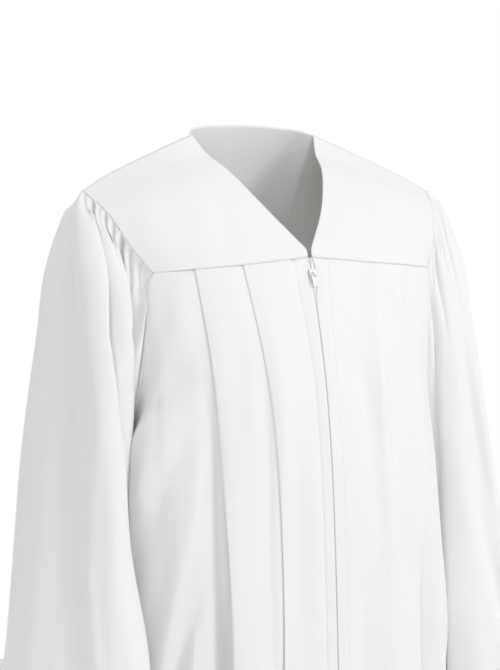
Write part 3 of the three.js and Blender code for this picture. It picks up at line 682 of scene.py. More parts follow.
def loop_turn(share):
    """The way round the arm, in degrees, at a share of the armhole's length."""
    return np.interp(share, LOOP["share"], LOOP["turn"])


def armhole_rim(side, face):
    """A panel's own edge along the armhole, from the yoke's corner down to the side seam."""
    edge = PANELS[side, face][-len(SIDE_WAVES["share"]) * PANEL_STEPS[face] - 1:, 0]
    lengths = lengths_along(edge)

    def place(share):
        where = share * lengths[-1]
        return np.stack([np.interp(where, lengths, edge[:, axis]) for axis in range(3)], axis=-1)

    return place


def unit(vectors):
    return vectors / np.maximum(np.linalg.norm(vectors, axis=-1, keepdims=True), 1e-9)


def calmed(ways):
    """Directions round the armhole without sudden turns at its corners."""
    reach = 7
    total = sum(np.roll(ways, shift, axis=0) for shift in range(-reach, reach + 1))
    return unit(total)


def armhole_start(side, shares):
    """Points of the armhole's edge, and the ways the sleeve leaves them."""
    starts, flows = [], []
    corner_way = 0.72
    for share in shares:
        front = share <= 0.5
        face = "front" if front else "back"
        way = share * 2 if front else (1 - share) * 2
        edge, rim_edge = ARM_EDGES[side, face]

        def place(where):
            where = np.clip(where, 0, 1)
            if where <= corner_way:
                return edge(where / corner_way)
            return rim_edge((where - corner_way) / (1 - corner_way))

        point = place(way)
        edge_way = unit(place(way + 0.01) - place(way - 0.01))
        yoke_out = unit(point - np.array([side * 120, 0, -190]))
        z, angle = armhole_edge(face, armhole_share(np.clip((way - corner_way) / (1 - corner_way), 0, 1)))
        centreward = outline(side, face, angle + 0.02, z)
        sideward = outline(side, face, max(angle - 0.02, 0.004), z)
        along = unit((sideward - centreward) * np.array([1, 1, 0]))
        body_out = np.array([along[1], -along[0], 0])
        if (body_out * outline(side, face, max(angle, 0.05), z))[:2].sum() < 0:
            body_out = -body_out
        out = mix(yoke_out, body_out, smooth((way - 0.5) / 0.3))
        out = unit(out - edge_way * (out @ edge_way))
        away = unit(np.cross(edge_way, out))
        open_way = np.array([side, 0, 0.4]) if way < corner_way else along + np.array([0, 0, 1])
        if away @ open_way < 0:
            away = -away
        turn = math.pi * float(smooth((way - 0.84) / 0.16))
        flows.append(away * math.cos(turn) + out * math.sin(turn))
        lift = min(max(turn - math.pi / 2, 0), math.pi / 2)
        gap = SEAM_GAP * 1.2
        starts.append(point + away * gap * math.cos(lift) + out * gap * math.sin(lift))
    return np.array(starts), calmed(np.array(flows))


ARM_EDGES = {(side, face): (arm_edge(side, face), armhole_rim(side, face))
             for side in (RIGHT, LEFT) for face in ("front", "back")}

# Long folds of the sleeves. A fold's course is rows of height and turn (0 outside, 90 in front); rise is how
# far it stands out, or sinks where it is negative; steep is how far it leans over towards higher turns.
SLEEVE_FOLDS = {
    RIGHT: [
        dict(course=[(-70, 57), (-132, 59), (-209, 66), (-275, 80), (-330, 92), (-440, 103), (-560, 112),
                     (-690, 117)],
             width=10, before=2.2, rise=15, steep=12, top=-62, reach=90),
        dict(course=[(-80, 71), (-132, 73), (-209, 83), (-275, 98), (-330, 110), (-440, 121), (-690, 132)],
             width=6.5, rise=-17, steep=0, top=-70, reach=90),
        dict(course=[(-90, 84), (-143, 90), (-226, 110), (-300, 125), (-440, 137), (-690, 147)],
             width=9, rise=9, steep=10, top=-72, reach=90, foot=-470),
        dict(course=[(-100, 102), (-160, 109), (-226, 126), (-300, 140), (-440, 152)],
             width=7, rise=-14, steep=0, top=-92, reach=90, foot=-430),
        dict(course=[(-110, 120), (-200, 134), (-290, 148), (-400, 156)], width=15, rise=7, steep=0, top=-100,
             reach=70, foot=-400),
        dict(course=[(-330, 184), (-690, 190)], width=44, rise=-17, steep=0, top=-290, reach=110),
        dict(course=[(-440, 113), (-560, 120), (-690, 124)], width=15, rise=11, steep=3, top=-410, reach=130),
        dict(course=[(-90, 20), (-174, 29), (-255, 37), (-396, 44), (-690, 54)],
             width=19, rise=-18, steep=0, top=-60, reach=110),
        dict(course=[(-110, 2), (-174, 6), (-255, 6), (-396, 8), (-690, 12)],
             width=18, rise=6, steep=0, top=-130, reach=160),
        dict(course=[(-100, 10), (-141, 8), (-175, 0), (-229, -13), (-282, -18), (-420, -24), (-690, -28)],
             width=6, rise=2, steep=-3, top=-80, reach=90),
        dict(course=[(-120, -6), (-175, -12), (-229, -25), (-282, -31), (-690, -42)],
             width=8, rise=-2, steep=0, top=-100, reach=110),
        dict(course=[(-90, -50), (-400, -64), (-690, -66)], width=13, rise=5, steep=-6, top=-150, reach=240),
        dict(course=[(-90, -78), (-400, -88), (-690, -92)], width=14, rise=-9, steep=0, top=-120, reach=240),
        dict(course=[(-90, -110), (-400, -114), (-690, -112)],
             width=15, rise=6, steep=5, top=-140, reach=240),
        dict(course=[(-120, -140), (-690, -146)], width=16, rise=-7, steep=0, top=-200, reach=240),
        dict(course=[(-380, 72), (-500, 80), (-690, 84)], width=9, rise=-3, steep=0, top=-390, reach=160),
        dict(course=[(-420, 18), (-560, 14), (-690, 12)], width=9, rise=3, steep=0, top=-430, reach=140),
    ],
    LEFT: [
        dict(course=[(-70, 112), (-145, 114), (-222, 112), (-351, 122), (-520, 134), (-690, 138)],
             width=12, before=2, rise=12, steep=8, top=-100, reach=190),
        dict(course=[(-150, 140), (-351, 144), (-560, 148)], width=19, rise=14, steep=0, top=-110, reach=180,
             foot=-700),
        dict(course=[(-300, 190), (-690, 196)], width=40, rise=-12, steep=0, top=-300, reach=160),
        dict(course=[(-100, 86), (-300, 92), (-690, 98)], width=15, rise=-5, steep=0, top=-130, reach=220),
        dict(course=[(-80, 62), (-240, 66), (-690, 70)], width=14, rise=5, steep=4, top=-100, reach=200),
        dict(course=[(-90, 38), (-300, 36), (-690, 32)], width=14, rise=-6, steep=0, top=-120, reach=220),
        dict(course=[(-90, 12), (-300, 6), (-690, 4)], width=13, rise=5, steep=-4, top=-130, reach=220),
        dict(course=[(-90, -18), (-300, -22), (-690, -26)], width=14, rise=-6, steep=0, top=-130, reach=200),
        dict(course=[(-90, -48), (-400, -52), (-690, -54)], width=14, rise=6, steep=5, top=-150, reach=240),
        dict(course=[(-90, -82), (-400, -84), (-690, -80)], width=17, rise=-9, steep=0, top=-130, reach=240),
        dict(course=[(-90, -112), (-400, -116), (-690, -118)],
             width=14, rise=6, steep=-5, top=-150, reach=240),
        dict(course=[(-140, -146), (-690, -150)], width=15, rise=-6, steep=0, top=-220, reach=240),
        dict(course=[(-320, 174), (-690, 170)], width=15, rise=-6, steep=0, top=-320, reach=160),
        dict(course=[(-380, 78), (-690, 84)], width=8, rise=3, steep=3, top=-400, reach=160),
    ],
}

# Gathers at the sleeve caps: place along the armhole (0 at the shoulder tip, front up to a half), depth
# and length
GATHERS = {
    RIGHT: [(0.014, 4.5, 70), (0.053, 11, 150), (0.088, 4, 45), (0.12, 8, 80),
            (0.168, 8, 70), (0.218, 11, 160), (0.268, 7, 80), (0.315, 4, 45), (0.34, 2, 30),
            (0.98, 4.5, 110), (0.955, 3.5, 50), (0.928, 6, 160), (0.89, 4, 60), (0.858, 6.5, 130),
            (0.82, 4, 50), (0.785, 6, 140), (0.748, 3.5, 60), (0.71, 4.5, 90)],
    LEFT: [(0.01, 4.5, 90), (0.036, 3, 45), (0.07, 6.5, 150), (0.108, 4, 60), (0.142, 6, 80),
           (0.18, 4, 50), (0.222, 7, 150), (0.262, 4, 60), (0.305, 5, 90), (0.338, 2, 40),
           (0.984, 3.5, 60), (0.958, 5, 120), (0.925, 3.5, 50), (0.893, 6.5, 150), (0.855, 4, 60),
           (0.82, 5.5, 120), (0.78, 4, 60), (0.742, 5, 110), (0.706, 3, 50)],
}
# Small folds that hang from the armhole beside the body: place, width, depth, length
PETALS = {
    RIGHT: [(0.365, 0.035, 13, 200), (0.6, 0.04, 6, 120)],
    LEFT: [(0.35, 0.035, 7, 150), (0.6, 0.04, 6, 120)],
}
GATHER_WIDTH = 0.0105
CAP_PUFF = 8
CAP_ROLL = 3.5


def turn_apart(turn, middle):
    """Degrees from one turn to another, the short way round."""
    return (turn - middle + 540) % 360 - 180


def sleeve_outline(side, turn, z):
    """A sleeve's outline with its long folds."""
    shifted = turn.copy()
    rise = np.zeros_like(turn)
    for fold in SLEEVE_FOLDS[side]:
        heights, turns = np.array(fold["course"], float).T
        middle = np.interp(-z, -heights, turns)
        grown = smooth((fold["top"] - z) / fold["reach"]) * smooth((z - fold.get("foot", -2000)) / 110)
        apart = turn_apart(turn, middle)
        lean = np.where(apart < 0, fold.get("before", 1), 1)
        bump = np.exp(-(apart / (fold["width"] * 0.8 * lean)) ** 2)
        rise += fold["rise"] * grown * bump
        slope = np.exp(-((apart - fold["width"] * 0.3) / (fold["width"] * 0.7)) ** 2)
        shifted += fold["steep"] * grown * slope
    wave = 0.8 * np.sin(np.radians(turn) * 9 + z / 90) + 0.6 * np.sin(np.radians(turn) * 15 - z / 60 + 2)
    rise += wave * smooth((-120 - z) / 200)
    angle = np.radians(shifted)
    across = column(SLEEVE, "across", z) + rise
    deep = column(SLEEVE, "deep", z) + rise
    return np.stack([side * (column(SLEEVE, "mid", z) + np.cos(angle) * across),
                     column(SLEEVE, "y", z) - np.sin(angle) * deep, z], axis=-1)


SLEEVE_ROWS = np.concatenate([[0, 0.003, 0.008, 0.015, 0.024], np.linspace(0.036, 1, 106)])
SLEEVE_COLUMNS = 288


def sleeve_shares():
    """Places of the sleeve's columns along the armhole, where both the armhole and the turn stay even."""
    share = np.linspace(0, 1, 2001)
    turn = loop_turn(share)
    along = 0.4 * share + 0.6 * (turn - turn[0]) / 360
    return np.interp(np.arange(SLEEVE_COLUMNS) / SLEEVE_COLUMNS, along, share)


def sleeve_grid(side):
    """A sleeve's outer face: gathered into the armhole, swelling over the cap, and hanging in folds."""
    shares = sleeve_shares()
    start, flow = armhole_start(side, shares)
    turn = loop_turn(shares)
    low = 1 - np.abs(np.cos(np.radians(turn / 2)))
    reach = mix(CAP_REACH, UNDERARM_REACH, low)[:, None]
    rows = SLEEVE_ROWS[None, :]
    lead = start[:, None] + flow[:, None] * np.minimum(5, rows * 300)[..., None]
    z = mix(lead[..., 2], CUFF_Z, rows)
    drop = lead[..., 2] - z
    spread = ((1 - (1 - np.clip(drop / reach, 0, 1)) ** 2) ** 0.7)[..., None]
    turns = np.broadcast_to(turn[:, None], z.shape).copy()
    hung = sleeve_outline(side, turns, z)
    grid = mix(lead, hung, spread)
    grid[..., 2] = z
    past = drop + np.minimum(5, rows * 300)
    for place, width, depth, length in PETALS[side]:
        bump = np.exp(-(((shares - place + 0.5) % 1 - 0.5) / width) ** 2)[:, None]
        forward = -depth if place < 0.5 else depth
        grid[..., 1] += forward * bump * smooth(past / 45) * smooth(1 - (past - 30) / length)

    push = np.zeros_like(z)
    for place, depth, length in GATHERS[side]:
        apart = (shares - place + 0.5) % 1 - 0.5
        valley = np.exp(-(np.abs(apart) / GATHER_WIDTH) ** 1.3)[:, None]
        push -= depth * valley * smooth(1 - drop / length) * smooth(past / 5)
    cap = smooth((np.cos(np.radians(turn / 2)) ** 2 * 1.5 - 0.2))[:, None]
    push += CAP_PUFF * cap * smooth(drop / 18) * smooth(1 - (drop - 20) / 120)
    push += CAP_ROLL * cap * smooth(past / 4) * smooth(1 - (past - 6) / 60)
    normals = grid_normals(grid, wrapped=True)
    middle = np.stack([side * column(SLEEVE, "mid", z), column(SLEEVE, "y", z), z - 30], axis=-1)
    outward = np.sign((normals * (grid - middle)).sum())
    return grid + normals * outward * push[..., None]


SLEEVES = {side: sleeve_grid(side) for side in (RIGHT, LEFT)}


# ---- From grids of points to cloth ----

def make_mesh(name, points, faces, uvs=None):
    """A smooth mesh from points in millimetres."""
    mesh = bpy.data.meshes.new(name)
    mesh.from_pydata((np.asarray(points) * MM).tolist(), [], np.asarray(faces).tolist())
    if uvs is not None:
        layer = mesh.uv_layers.new(name="cloth")
        corners = np.zeros(len(mesh.loops), np.int32)
        mesh.loops.foreach_get("vertex_index", corners)
        layer.data.foreach_set("uv", np.asarray(uvs)[corners].astype(np.float32).ravel())
    mesh.polygons.foreach_set("use_smooth", np.ones(len(mesh.polygons), bool))
    mesh.update()
    piece = bpy.data.objects.new(name, mesh)
    bpy.context.scene.collection.objects.link(piece)
    return piece


def grid_faces(across, down, wrapped=False):
    """The four-sided faces of a grid, closed round if it is wrapped."""
    u = np.arange(across if wrapped else across - 1)[:, None]
    v = np.arange(down - 1)[None, :]
    after = (u + 1) % across
    a, b, c, d = u * down + v, after * down + v, after * down + v + 1, u * down + v + 1
    return np.stack([a, b, c, d], axis=-1).reshape(-1, 4)


def grid_uvs(grid):
    """How far along and down the cloth each point lies, in metres."""
    around = np.linalg.norm(np.diff(grid, axis=0), axis=-1)
    down = np.linalg.norm(np.diff(grid, axis=1), axis=-1)
    u = np.concatenate([np.zeros((1, grid.shape[1])), np.cumsum(around, axis=0)])
    v = np.concatenate([np.zeros((grid.shape[0], 1)), np.cumsum(down, axis=1)], axis=1)
    return np.stack([u.mean(axis=1, keepdims=True) + 0 * u, v], axis=-1).reshape(-1, 2) * MM


def cloth_piece(name, grid, inside, wrapped=False):
    """A thin sheet on a grid of points of its outer face; inside is a point on its inner side."""
    faces = grid_faces(grid.shape[0], grid.shape[1], wrapped)
    normals = grid_normals(grid, wrapped)
    middle = grid - np.array(inside)
    middle[..., 2] *= 0.15
    if (normals * middle).sum() < 0:
        faces = faces[:, ::-1]
    piece = make_mesh(f"robe_{name}", grid.reshape(-1, 3), faces, grid_uvs(grid))
    shell = piece.modifiers.new("thickness", "SOLIDIFY")
    shell.thickness = CLOTH * MM
    shell.offset = -1
    piece.data.materials.append(MATERIALS["cloth"])
    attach(piece, "root")
    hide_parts(name)
    return piece


# ---- Materials ----

def new_material(name, colour, roughness):
    material = bpy.data.materials.new(name)
    material.use_nodes = True
    nodes, links = material.node_tree.nodes, material.node_tree.links
    shader = nodes["Principled BSDF"]
    shader.inputs["Base Color"].default_value = (*colour, 1)
    shader.inputs["Roughness"].default_value = roughness
    return material, nodes, links, shader


def cloth_material():
    """White woven polyester: a fine plain weave, a faint slub and a soft sheen."""
    material, nodes, links, shader = new_material("robe_cloth", (0.85, 0.845, 0.84), 0.78)
    shader.inputs["Subsurface Weight"].default_value = 0.35
    shader.inputs["Subsurface Scale"].default_value = 0.003
    shader.inputs["Subsurface Radius"].default_value = (1, 0.9, 0.78)
    shader.inputs["Sheen Weight"].default_value = 0.12
    shader.inputs["Sheen Roughness"].default_value = 0.5
    coords = nodes.new("ShaderNodeTexCoord")
    ways = []
    for direction in ("X", "Y"):
        threads = nodes.new("ShaderNodeTexWave")
        threads.bands_direction = direction
        threads.inputs["Scale"].default_value = 420
        threads.inputs["Distortion"].default_value = 0.6
        links.new(coords.outputs["UV"], threads.inputs["Vector"])
        ways.append(threads)
    weave = nodes.new("ShaderNodeMath")
    weave.operation = "ADD"
    for index, threads in enumerate(ways):
        links.new(threads.outputs["Fac"], weave.inputs[index])
    slub = nodes.new("ShaderNodeTexNoise")
    slub.inputs["Scale"].default_value = 260
    slub.inputs["Detail"].default_value = 3
    links.new(coords.outputs["Object"], slub.inputs["Vector"])
    both = nodes.new("ShaderNodeMath")
    both.operation = "ADD"
    links.new(weave.outputs[0], both.inputs[0])
    links.new(slub.outputs["Fac"], both.inputs[1])
    bump = nodes.new("ShaderNodeBump")
    bump.inputs["Strength"].default_value = 0.12
    bump.inputs["Distance"].default_value = 0.0002
    links.new(both.outputs[0], bump.inputs["Height"])
    links.new(bump.outputs["Normal"], shader.inputs["Normal"])
    return material


def add_grain(nodes, links, shader, scale, strength, roughness):
    """A fine uneven surface: small bumps, and a polish that varies between two values of roughness."""
    coords = nodes.new("ShaderNodeTexCoord")
    grain = nodes.new("ShaderNodeTexNoise")
    grain.inputs["Scale"].default_value = scale
    grain.inputs["Detail"].default_value = 4
    links.new(coords.outputs["Object"], grain.inputs["Vector"])
    bump = nodes.new("ShaderNodeBump")
    bump.inputs["Strength"].default_value = strength
    bump.inputs["Distance"].default_value = 0.0001
    links.new(grain.outputs["Fac"], bump.inputs["Height"])
    links.new(bump.outputs["Normal"], shader.inputs["Normal"])
    polish = nodes.new("ShaderNodeMapRange")
    polish.inputs["From Min"].default_value = 0.3
    polish.inputs["From Max"].default_value = 0.7
    polish.inputs["To Min"].default_value = roughness[0]
    polish.inputs["To Max"].default_value = roughness[1]
    links.new(grain.outputs["Fac"], polish.inputs["Value"])
    links.new(polish.outputs["Result"], shader.inputs["Roughness"])


def grained_material(name, colour, scale, strength, roughness):
    material, nodes, links, shader = new_material(name, colour, roughness[0])
    add_grain(nodes, links, shader, scale, strength, roughness)
    return material


def tape_material():
    """Twill tape: fine diagonal ribs."""
    material, nodes, links, shader = new_material("zip_tape", (0.8, 0.795, 0.785), 0.85)
    coords = nodes.new("ShaderNodeTexCoord")
    twill = nodes.new("ShaderNodeTexWave")
    twill.bands_direction = "DIAGONAL"
    twill.inputs["Scale"].default_value = 300
    links.new(coords.outputs["UV"], twill.inputs["Vector"])
    bump = nodes.new("ShaderNodeBump")
    bump.inputs["Strength"].default_value = 0.3
    bump.inputs["Distance"].default_value = 0.0002
    links.new(twill.outputs["Fac"], bump.inputs["Height"])
    links.new(bump.outputs["Normal"], shader.inputs["Normal"])
    return material


def make_materials():
    return dict(
        cloth=cloth_material(),
        tape=tape_material(),
        thread=grained_material("thread", (0.74, 0.735, 0.725), 2400, 0.4, (0.5, 0.72)),
        enamel=grained_material("zip_enamel", (0.78, 0.775, 0.765), 900, 0.08, (0.27, 0.4)),
        teeth=grained_material("zip_teeth", (0.62, 0.615, 0.61), 1500, 0.12, (0.34, 0.5)),
    )


MATERIALS = make_materials()
BODY_MIDDLE = (0, 20, -700)


def build_cloth():
    pieces = {}

    def add(name, grid, inside, wrapped=False):
        pieces[name] = cloth_piece(name, grid, inside, wrapped)

    for side, word in SIDE_WORD.items():
        add(f"front_{word}", PANELS[side, "front"], BODY_MIDDLE)
        add(f"yoke_front_{word}", front_yoke_grid(side), (side * 90, 60, -260))
        add(f"sleeve_{word}", SLEEVES[side], (side * 225, 0, -400), wrapped=True)
    add("back_panel", np.concatenate([PANELS[RIGHT, "back"][::-1][:-1], PANELS[LEFT, "back"]]), BODY_MIDDLE)
    add("yoke_back", np.concatenate([back_yoke_half(RIGHT)[::-1][:-1], back_yoke_half(LEFT)]), (0, -60, -260))
    return pieces


def tape_grid(side):
    """A zip tape behind a front edge, from the seam to the zip's end."""
    heights = mix(float(seam_height("front", 0)) - YOKE_DROP, HEM_Z * TAPE_END_SHARE, np.linspace(0, 1, 160))
    courses = []
    for distance in (0.35, 2, 4, 7.5, TAPE_WIDTH):
        band = 2.2 * distance / column(FRONT_LINES, "placket", heights)
        courses.append(on_body(side, "front", angle_at(distance, heights), heights, 0 * heights,
                               CLOTH + SEAM_GAP * 1.4 + band))
    return settle(np.array(courses))


def build_tapes():
    for side, word in SIDE_WORD.items():
        name = f"zip_tape_{word}"
        piece = cloth_piece(name, tape_grid(side), BODY_MIDDLE)
        piece.data.materials.clear()
        piece.data.materials.append(MATERIALS["tape"])
        length = (HEM_Z * TAPE_END_SHARE - float(seam_height("front", 0))) * -MM


def declare_sheets(pieces):
    for name, piece in pieces.items():
        width, length, area, held = FLAT[name]


# Flat cuts in metres and square metres: width, length, area, and how the piece is held
FLAT = {
    "front_right": (0.52, 1.18, 0.46, "hung"),
    "front_left": (0.5, 1.18, 0.45, "hung"),
    "back_panel": (1.04, 1.17, 0.86, "hung"),
    "yoke_front_right": (0.18, 0.2, 0.026, "hung"),
    "yoke_front_left": (0.18, 0.2, 0.026, "hung"),
    "yoke_back": (0.5, 0.17, 0.063, "hung"),
    "sleeve_right": (0.74, 0.67, 0.315, "gathered"),
    "sleeve_left": (0.74, 0.67, 0.285, "gathered"),
}


# ---- Sewing ----

STITCH = dict(pitch=3.6, length=2.5, width=0.5, height=0.22)


def stitch_row(name, points, normals):
    """A row of short stitches laid along a line of points of the cloth's face."""
    lengths = lengths_along(points)

    def at(place, values):
        return np.stack([np.interp(place, lengths, values[:, axis]) for axis in range(3)], axis=-1)

    starts = np.arange(1, lengths[-1] - STITCH["length"] - 1, STITCH["pitch"])
    ends = starts + STITCH["length"]
    up = unit(at((starts + ends) / 2, normals))
    first, last = at(starts, points), at(ends, points)
    along = unit(last - first)
    across = np.cross(up, along) * STITCH["width"] / 2
    low, high = up * -0.12, up * STITCH["height"]
    inset = along * 0.35
    top_across = across * 0.6
    corners = np.stack([first - across + low, first + across + low, last + across + low, last - across + low,
                        first + inset - top_across + high, first + inset + top_across + high,
                        last - inset + top_across + high, last - inset - top_across + high], axis=1)
    box = np.array([[0, 3, 2, 1], [4, 5, 6, 7], [0, 1, 5, 4], [1, 2, 6, 5], [2, 3, 7, 6], [3, 0, 4, 7]])
    faces = (np.arange(len(starts))[:, None, None] * 8 + box[None]).reshape(-1, 4)
    piece = make_mesh(f"robe_{name}", corners.reshape(-1, 3), faces)
    piece.data.materials.append(MATERIALS["thread"])
    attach(piece, "root")
    return piece


def outward_normals(grid, inside, wrapped=False):
    """The outward directions of a grid's face."""
    normals = grid_normals(grid, wrapped)
    middle = grid - np.array(inside)
    middle[..., 2] *= 0.15
    return normals if (normals * middle).sum() > 0 else -normals


def build_sewing(sleeves):
    """Topstitching on the placket, and one row round the hem and each cuff."""
    band_column = 3 * PANEL_STEPS["front"] - 3
    hem_row, cuff_row = -3, -5
    for (side, face), panel in PANELS.items():
        word = f"{face}_{SIDE_WORD[side]}"
        normals = outward_normals(panel, BODY_MIDDLE)
        stitch_row(f"hem_stitches_{word}", panel[3:, hem_row], normals[3:, hem_row])
        if (side, face) == (RIGHT, "front"):
            stitch_row("placket_stitches", panel[band_column, 6:], normals[band_column, 6:])
    for side, sleeve in sleeves.items():
        normals = outward_normals(sleeve, (side * 225, 0, -400), wrapped=True)
        stitch_row(f"cuff_stitches_{SIDE_WORD[side]}", sleeve[:, cuff_row], normals[:, cuff_row])


# ---- Zip hardware ----

ZIP_MIDDLE_Z = -149
SLIDER = dict(width=8, height=11, depth=3.4, back=1.1, plate=0.9)
BAIL = dict(width=2.4, hole=2.6, bar=0.9)
PULL = dict(length=15, width=6, thick=1.2, arm=1.3, bar=1.4, eye=4.8, keyhole=1.1)
TOP_STOP = dict(x=1.5, z=-136, deep=0.6, size=(1.6, 1.4, 3))
TEETH = dict(pitch=2.2, width=1.5, height=1.1, depth=1.3, mesh=0.45, behind=1.6, top=-158, foot=-1160)


def zip_frame():
    """Where the slider's middle lies and how far the front slopes there."""
    step = 10
    middle = outline(LEFT, "front", math.pi / 2, float(ZIP_MIDDLE_Z))
    foot = outline(LEFT, "front", math.pi / 2, float(ZIP_MIDDLE_Z - step))
    return middle, math.atan2(middle[1] - foot[1], step)


def place_hard(piece, node, part, bevel):
    """Moves a finished hard piece into the slope of the front."""
    middle, slope = zip_frame()
    place = Matrix.Translation(Vector(middle) * MM) @ Matrix.Rotation(-slope, 4, "X")
    piece.data.transform(place @ Matrix.Scale(MM, 4))
    finish_hard(piece, node, part, bevel)


def finish_hard(piece, node, part, bevel):
    """Rounds the edges of a hard piece and names its node, body and material."""
    piece.name = f"robe_{node}"
    piece.data.materials.clear()
    piece.data.materials.append(MATERIALS["enamel"])
    edge = piece.modifiers.new("bevel", "BEVEL")
    edge.width = bevel * MM
    edge.segments = 3
    edge.limit_method = "ANGLE"
    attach(piece, part)
    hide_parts(node)


def flat_outline(name, points, holes=()):
    """A flat face on the plane y = 0 with holes in it, filled in edit mode."""
    mesh = bpy.data.meshes.new(name)
    places, edges = [], []
    for loop in (points, *holes):
        first = len(places)
        places += [(x, 0, z) for x, z in loop]
        edges += [(first + i, first + (i + 1) % len(loop)) for i in range(len(loop))]
    mesh.from_pydata(places, edges, [])
    piece = bpy.data.objects.new(name, mesh)
    bpy.context.scene.collection.objects.link(piece)
    return piece


def into_edit(piece):
    bpy.ops.object.select_all(action="DESELECT")
    piece.select_set(True)
    bpy.context.view_layer.objects.active = piece
    bpy.ops.object.mode_set(mode="EDIT")
    bpy.ops.mesh.select_all(action="SELECT")


def out_of_edit():
    bpy.ops.mesh.select_all(action="SELECT")
    bpy.ops.mesh.normals_make_consistent(inside=False)
    bpy.ops.object.mode_set(mode="OBJECT")
    bpy.ops.object.shade_smooth_by_angle(angle=math.radians(35))


def cut_plate(name, points, holes, front, back):
    """A plate with holes, filled from its outline and extruded from its front face to its back face."""
    piece = flat_outline(name, points, holes)
    into_edit(piece)
    bpy.ops.mesh.fill()
    bpy.ops.transform.translate(value=(0, front, 0))
    bpy.ops.mesh.extrude_region_move(TRANSFORM_OT_translate={"value": (0, back - front, 0)})
    out_of_edit()
    return piece


def arc(middle, radius, start, end, count):
    turns = np.radians(np.linspace(start, end, count))
    return [(middle[0] + radius * math.cos(turn), middle[1] + radius * math.sin(turn)) for turn in turns]


def join(pieces, name):
    bpy.ops.object.select_all(action="DESELECT")
    for piece in pieces:
        piece.select_set(True)
    bpy.context.view_layer.objects.active = pieces[0]
    bpy.ops.object.join()
    pieces[0].name = name
    return pieces[0]


def block(name, low, high):
    """A plain block between two corners."""
    bpy.ops.object.select_all(action="DESELECT")
    bpy.ops.mesh.primitive_cube_add(size=1)
    piece = bpy.context.object
    piece.name = name
    size = [b - a for a, b in zip(low, high)]
    middle = [(a + b) / 2 for a, b in zip(low, high)]
    piece.data.transform(Matrix.Translation(middle) @ Matrix.Diagonal((*size, 1)))
    return piece


def slider_plan():
    """Outline of a slider plate, wider above, where the two rows of teeth run in."""
    wide, tall = SLIDER["width"], SLIDER["height"]
    shares = ((0.1, -0.5), (0.27, -0.5), (0.33, -0.44), (0.42, 0), (0.5, 0.3), (0.49, 0.42), (0.42, 0.47),
              (0.3, 0.47), (0.15, 0.4))
    half = [(x * wide, z * tall) for x, z in shares]
    return half + [(0, 0.38 * tall)] + [(-x, z) for x, z in reversed(half)]


def build_slider():
    """Two plates with rims, a post between them, and the arched bail that holds the pull."""
    front, back = SLIDER["back"] - SLIDER["depth"], SLIDER["back"]
    plate = SLIDER["plate"]
    face = cut_plate("slider_face", slider_plan(), (), front, front + plate)
    rear = cut_plate("slider_rear", slider_plan(), (), back - plate, back)
    post = cut_plate("slider_post", [(-0.9, 1.6), (0.9, 1.6), (1.5, 4.4), (0, 4.7), (-1.5, 4.4)], (),
                     front + plate * 0.6, back - plate * 0.6)
    flanges = []
    half_rim = ((2.4, -5.3), (3.0, -5.1), (3.7, 0), (4.0, 2.8), (3.3, 2.9), (3.0, 0))
    for side in (RIGHT, LEFT):
        rim = [(side * x, z) for x, z in half_rim]
        flanges += [cut_plate("flange", rim, (), front + 0.2, front + plate + 0.4),
                    cut_plate("flange", rim, (), back - plate - 0.4, back - 0.2)]
    return join([face, rear, post, build_bail(front), *flanges], "slider")


def build_bail(front):
    """The bail: a narrow arch, drawn from the side and pushed out to its width."""
    hole, bar, wide = BAIL["hole"], BAIL["bar"], BAIL["width"]
    reach = hole + bar
    foot = hole / 2 + bar
    outer = [(foot, -0.6)] + arc((0, reach - 2.15), foot, 0, 180, 13) + [(-foot, -0.6)]
    inner = [(-hole / 2, 0)] + arc((0, reach - 2.2), hole / 2, 180, 0, 11) + [(hole / 2, 0)]
    piece = cut_plate("bail", outer, (inner,), -wide / 2, wide / 2)
    turn = Matrix(((0, -1, 0, 0), (0, 0, -1, front), (1, 0, 0, 0), (0, 0, 0, 1)))
    piece.data.transform(turn)
    return piece


def build_pull():
    """The pull tab: an eye round the bail's bar and a solid tongue with a keyhole."""
    half, thick, deep = PULL["width"] / 2, PULL["thick"], PULL["eye"]
    top = PULL["bar"] / 2
    foot = top - PULL["length"]
    tongue = half * 0.84
    shoulder = [(half * 0.72, top), (half, top - 0.9), (half, -deep * 0.9), (tongue, -deep - 1.4)]
    plan = ([(-x, z) for x, z in shoulder] + arc((0, foot + tongue), tongue, 180, 360, 17) + shoulder[::-1])
    inner = half - PULL["arm"]
    half_eye = [(inner * 0.8, -top), (inner, -top - 0.5), (inner, -deep + 0.7), (inner * 0.7, -deep)]
    eye = half_eye + [(-x, z) for x, z in half_eye[::-1]]
    hole = arc((0, foot + PULL["width"] * 0.45), PULL["keyhole"], 360, 25, 14)
    piece = cut_plate("pull", plan, (eye, hole), -thick / 2, thick / 2)
    middle = SLIDER["back"] - SLIDER["depth"] - BAIL["hole"] / 2
    piece.data.transform(Matrix.Translation((0, middle, 0)))
    return piece


def build_stops():
    """The two small stops above the slider."""
    for side, word in SIDE_WORD.items():
        z = float(TOP_STOP["z"])
        point = on_body(side, "front", angle_at(TOP_STOP["x"], z), z, 0, TOP_STOP["deep"])
        half = [value / 2 for value in TOP_STOP["size"]]
        stop = block("stop", [-value for value in half], half)
        stop.data.transform(Matrix.Translation(Vector(point) * MM) @ Matrix.Scale(MM, 4))
        finish_hard(stop, f"zip_top_stop_{word}", "root", 0.3)


def build_zip():
    place_hard(build_slider(), "zip_slider", "root", 0.22)
    place_hard(build_pull(), "zip_pull", "pull", 0.25)
    build_stops()
    build_teeth()


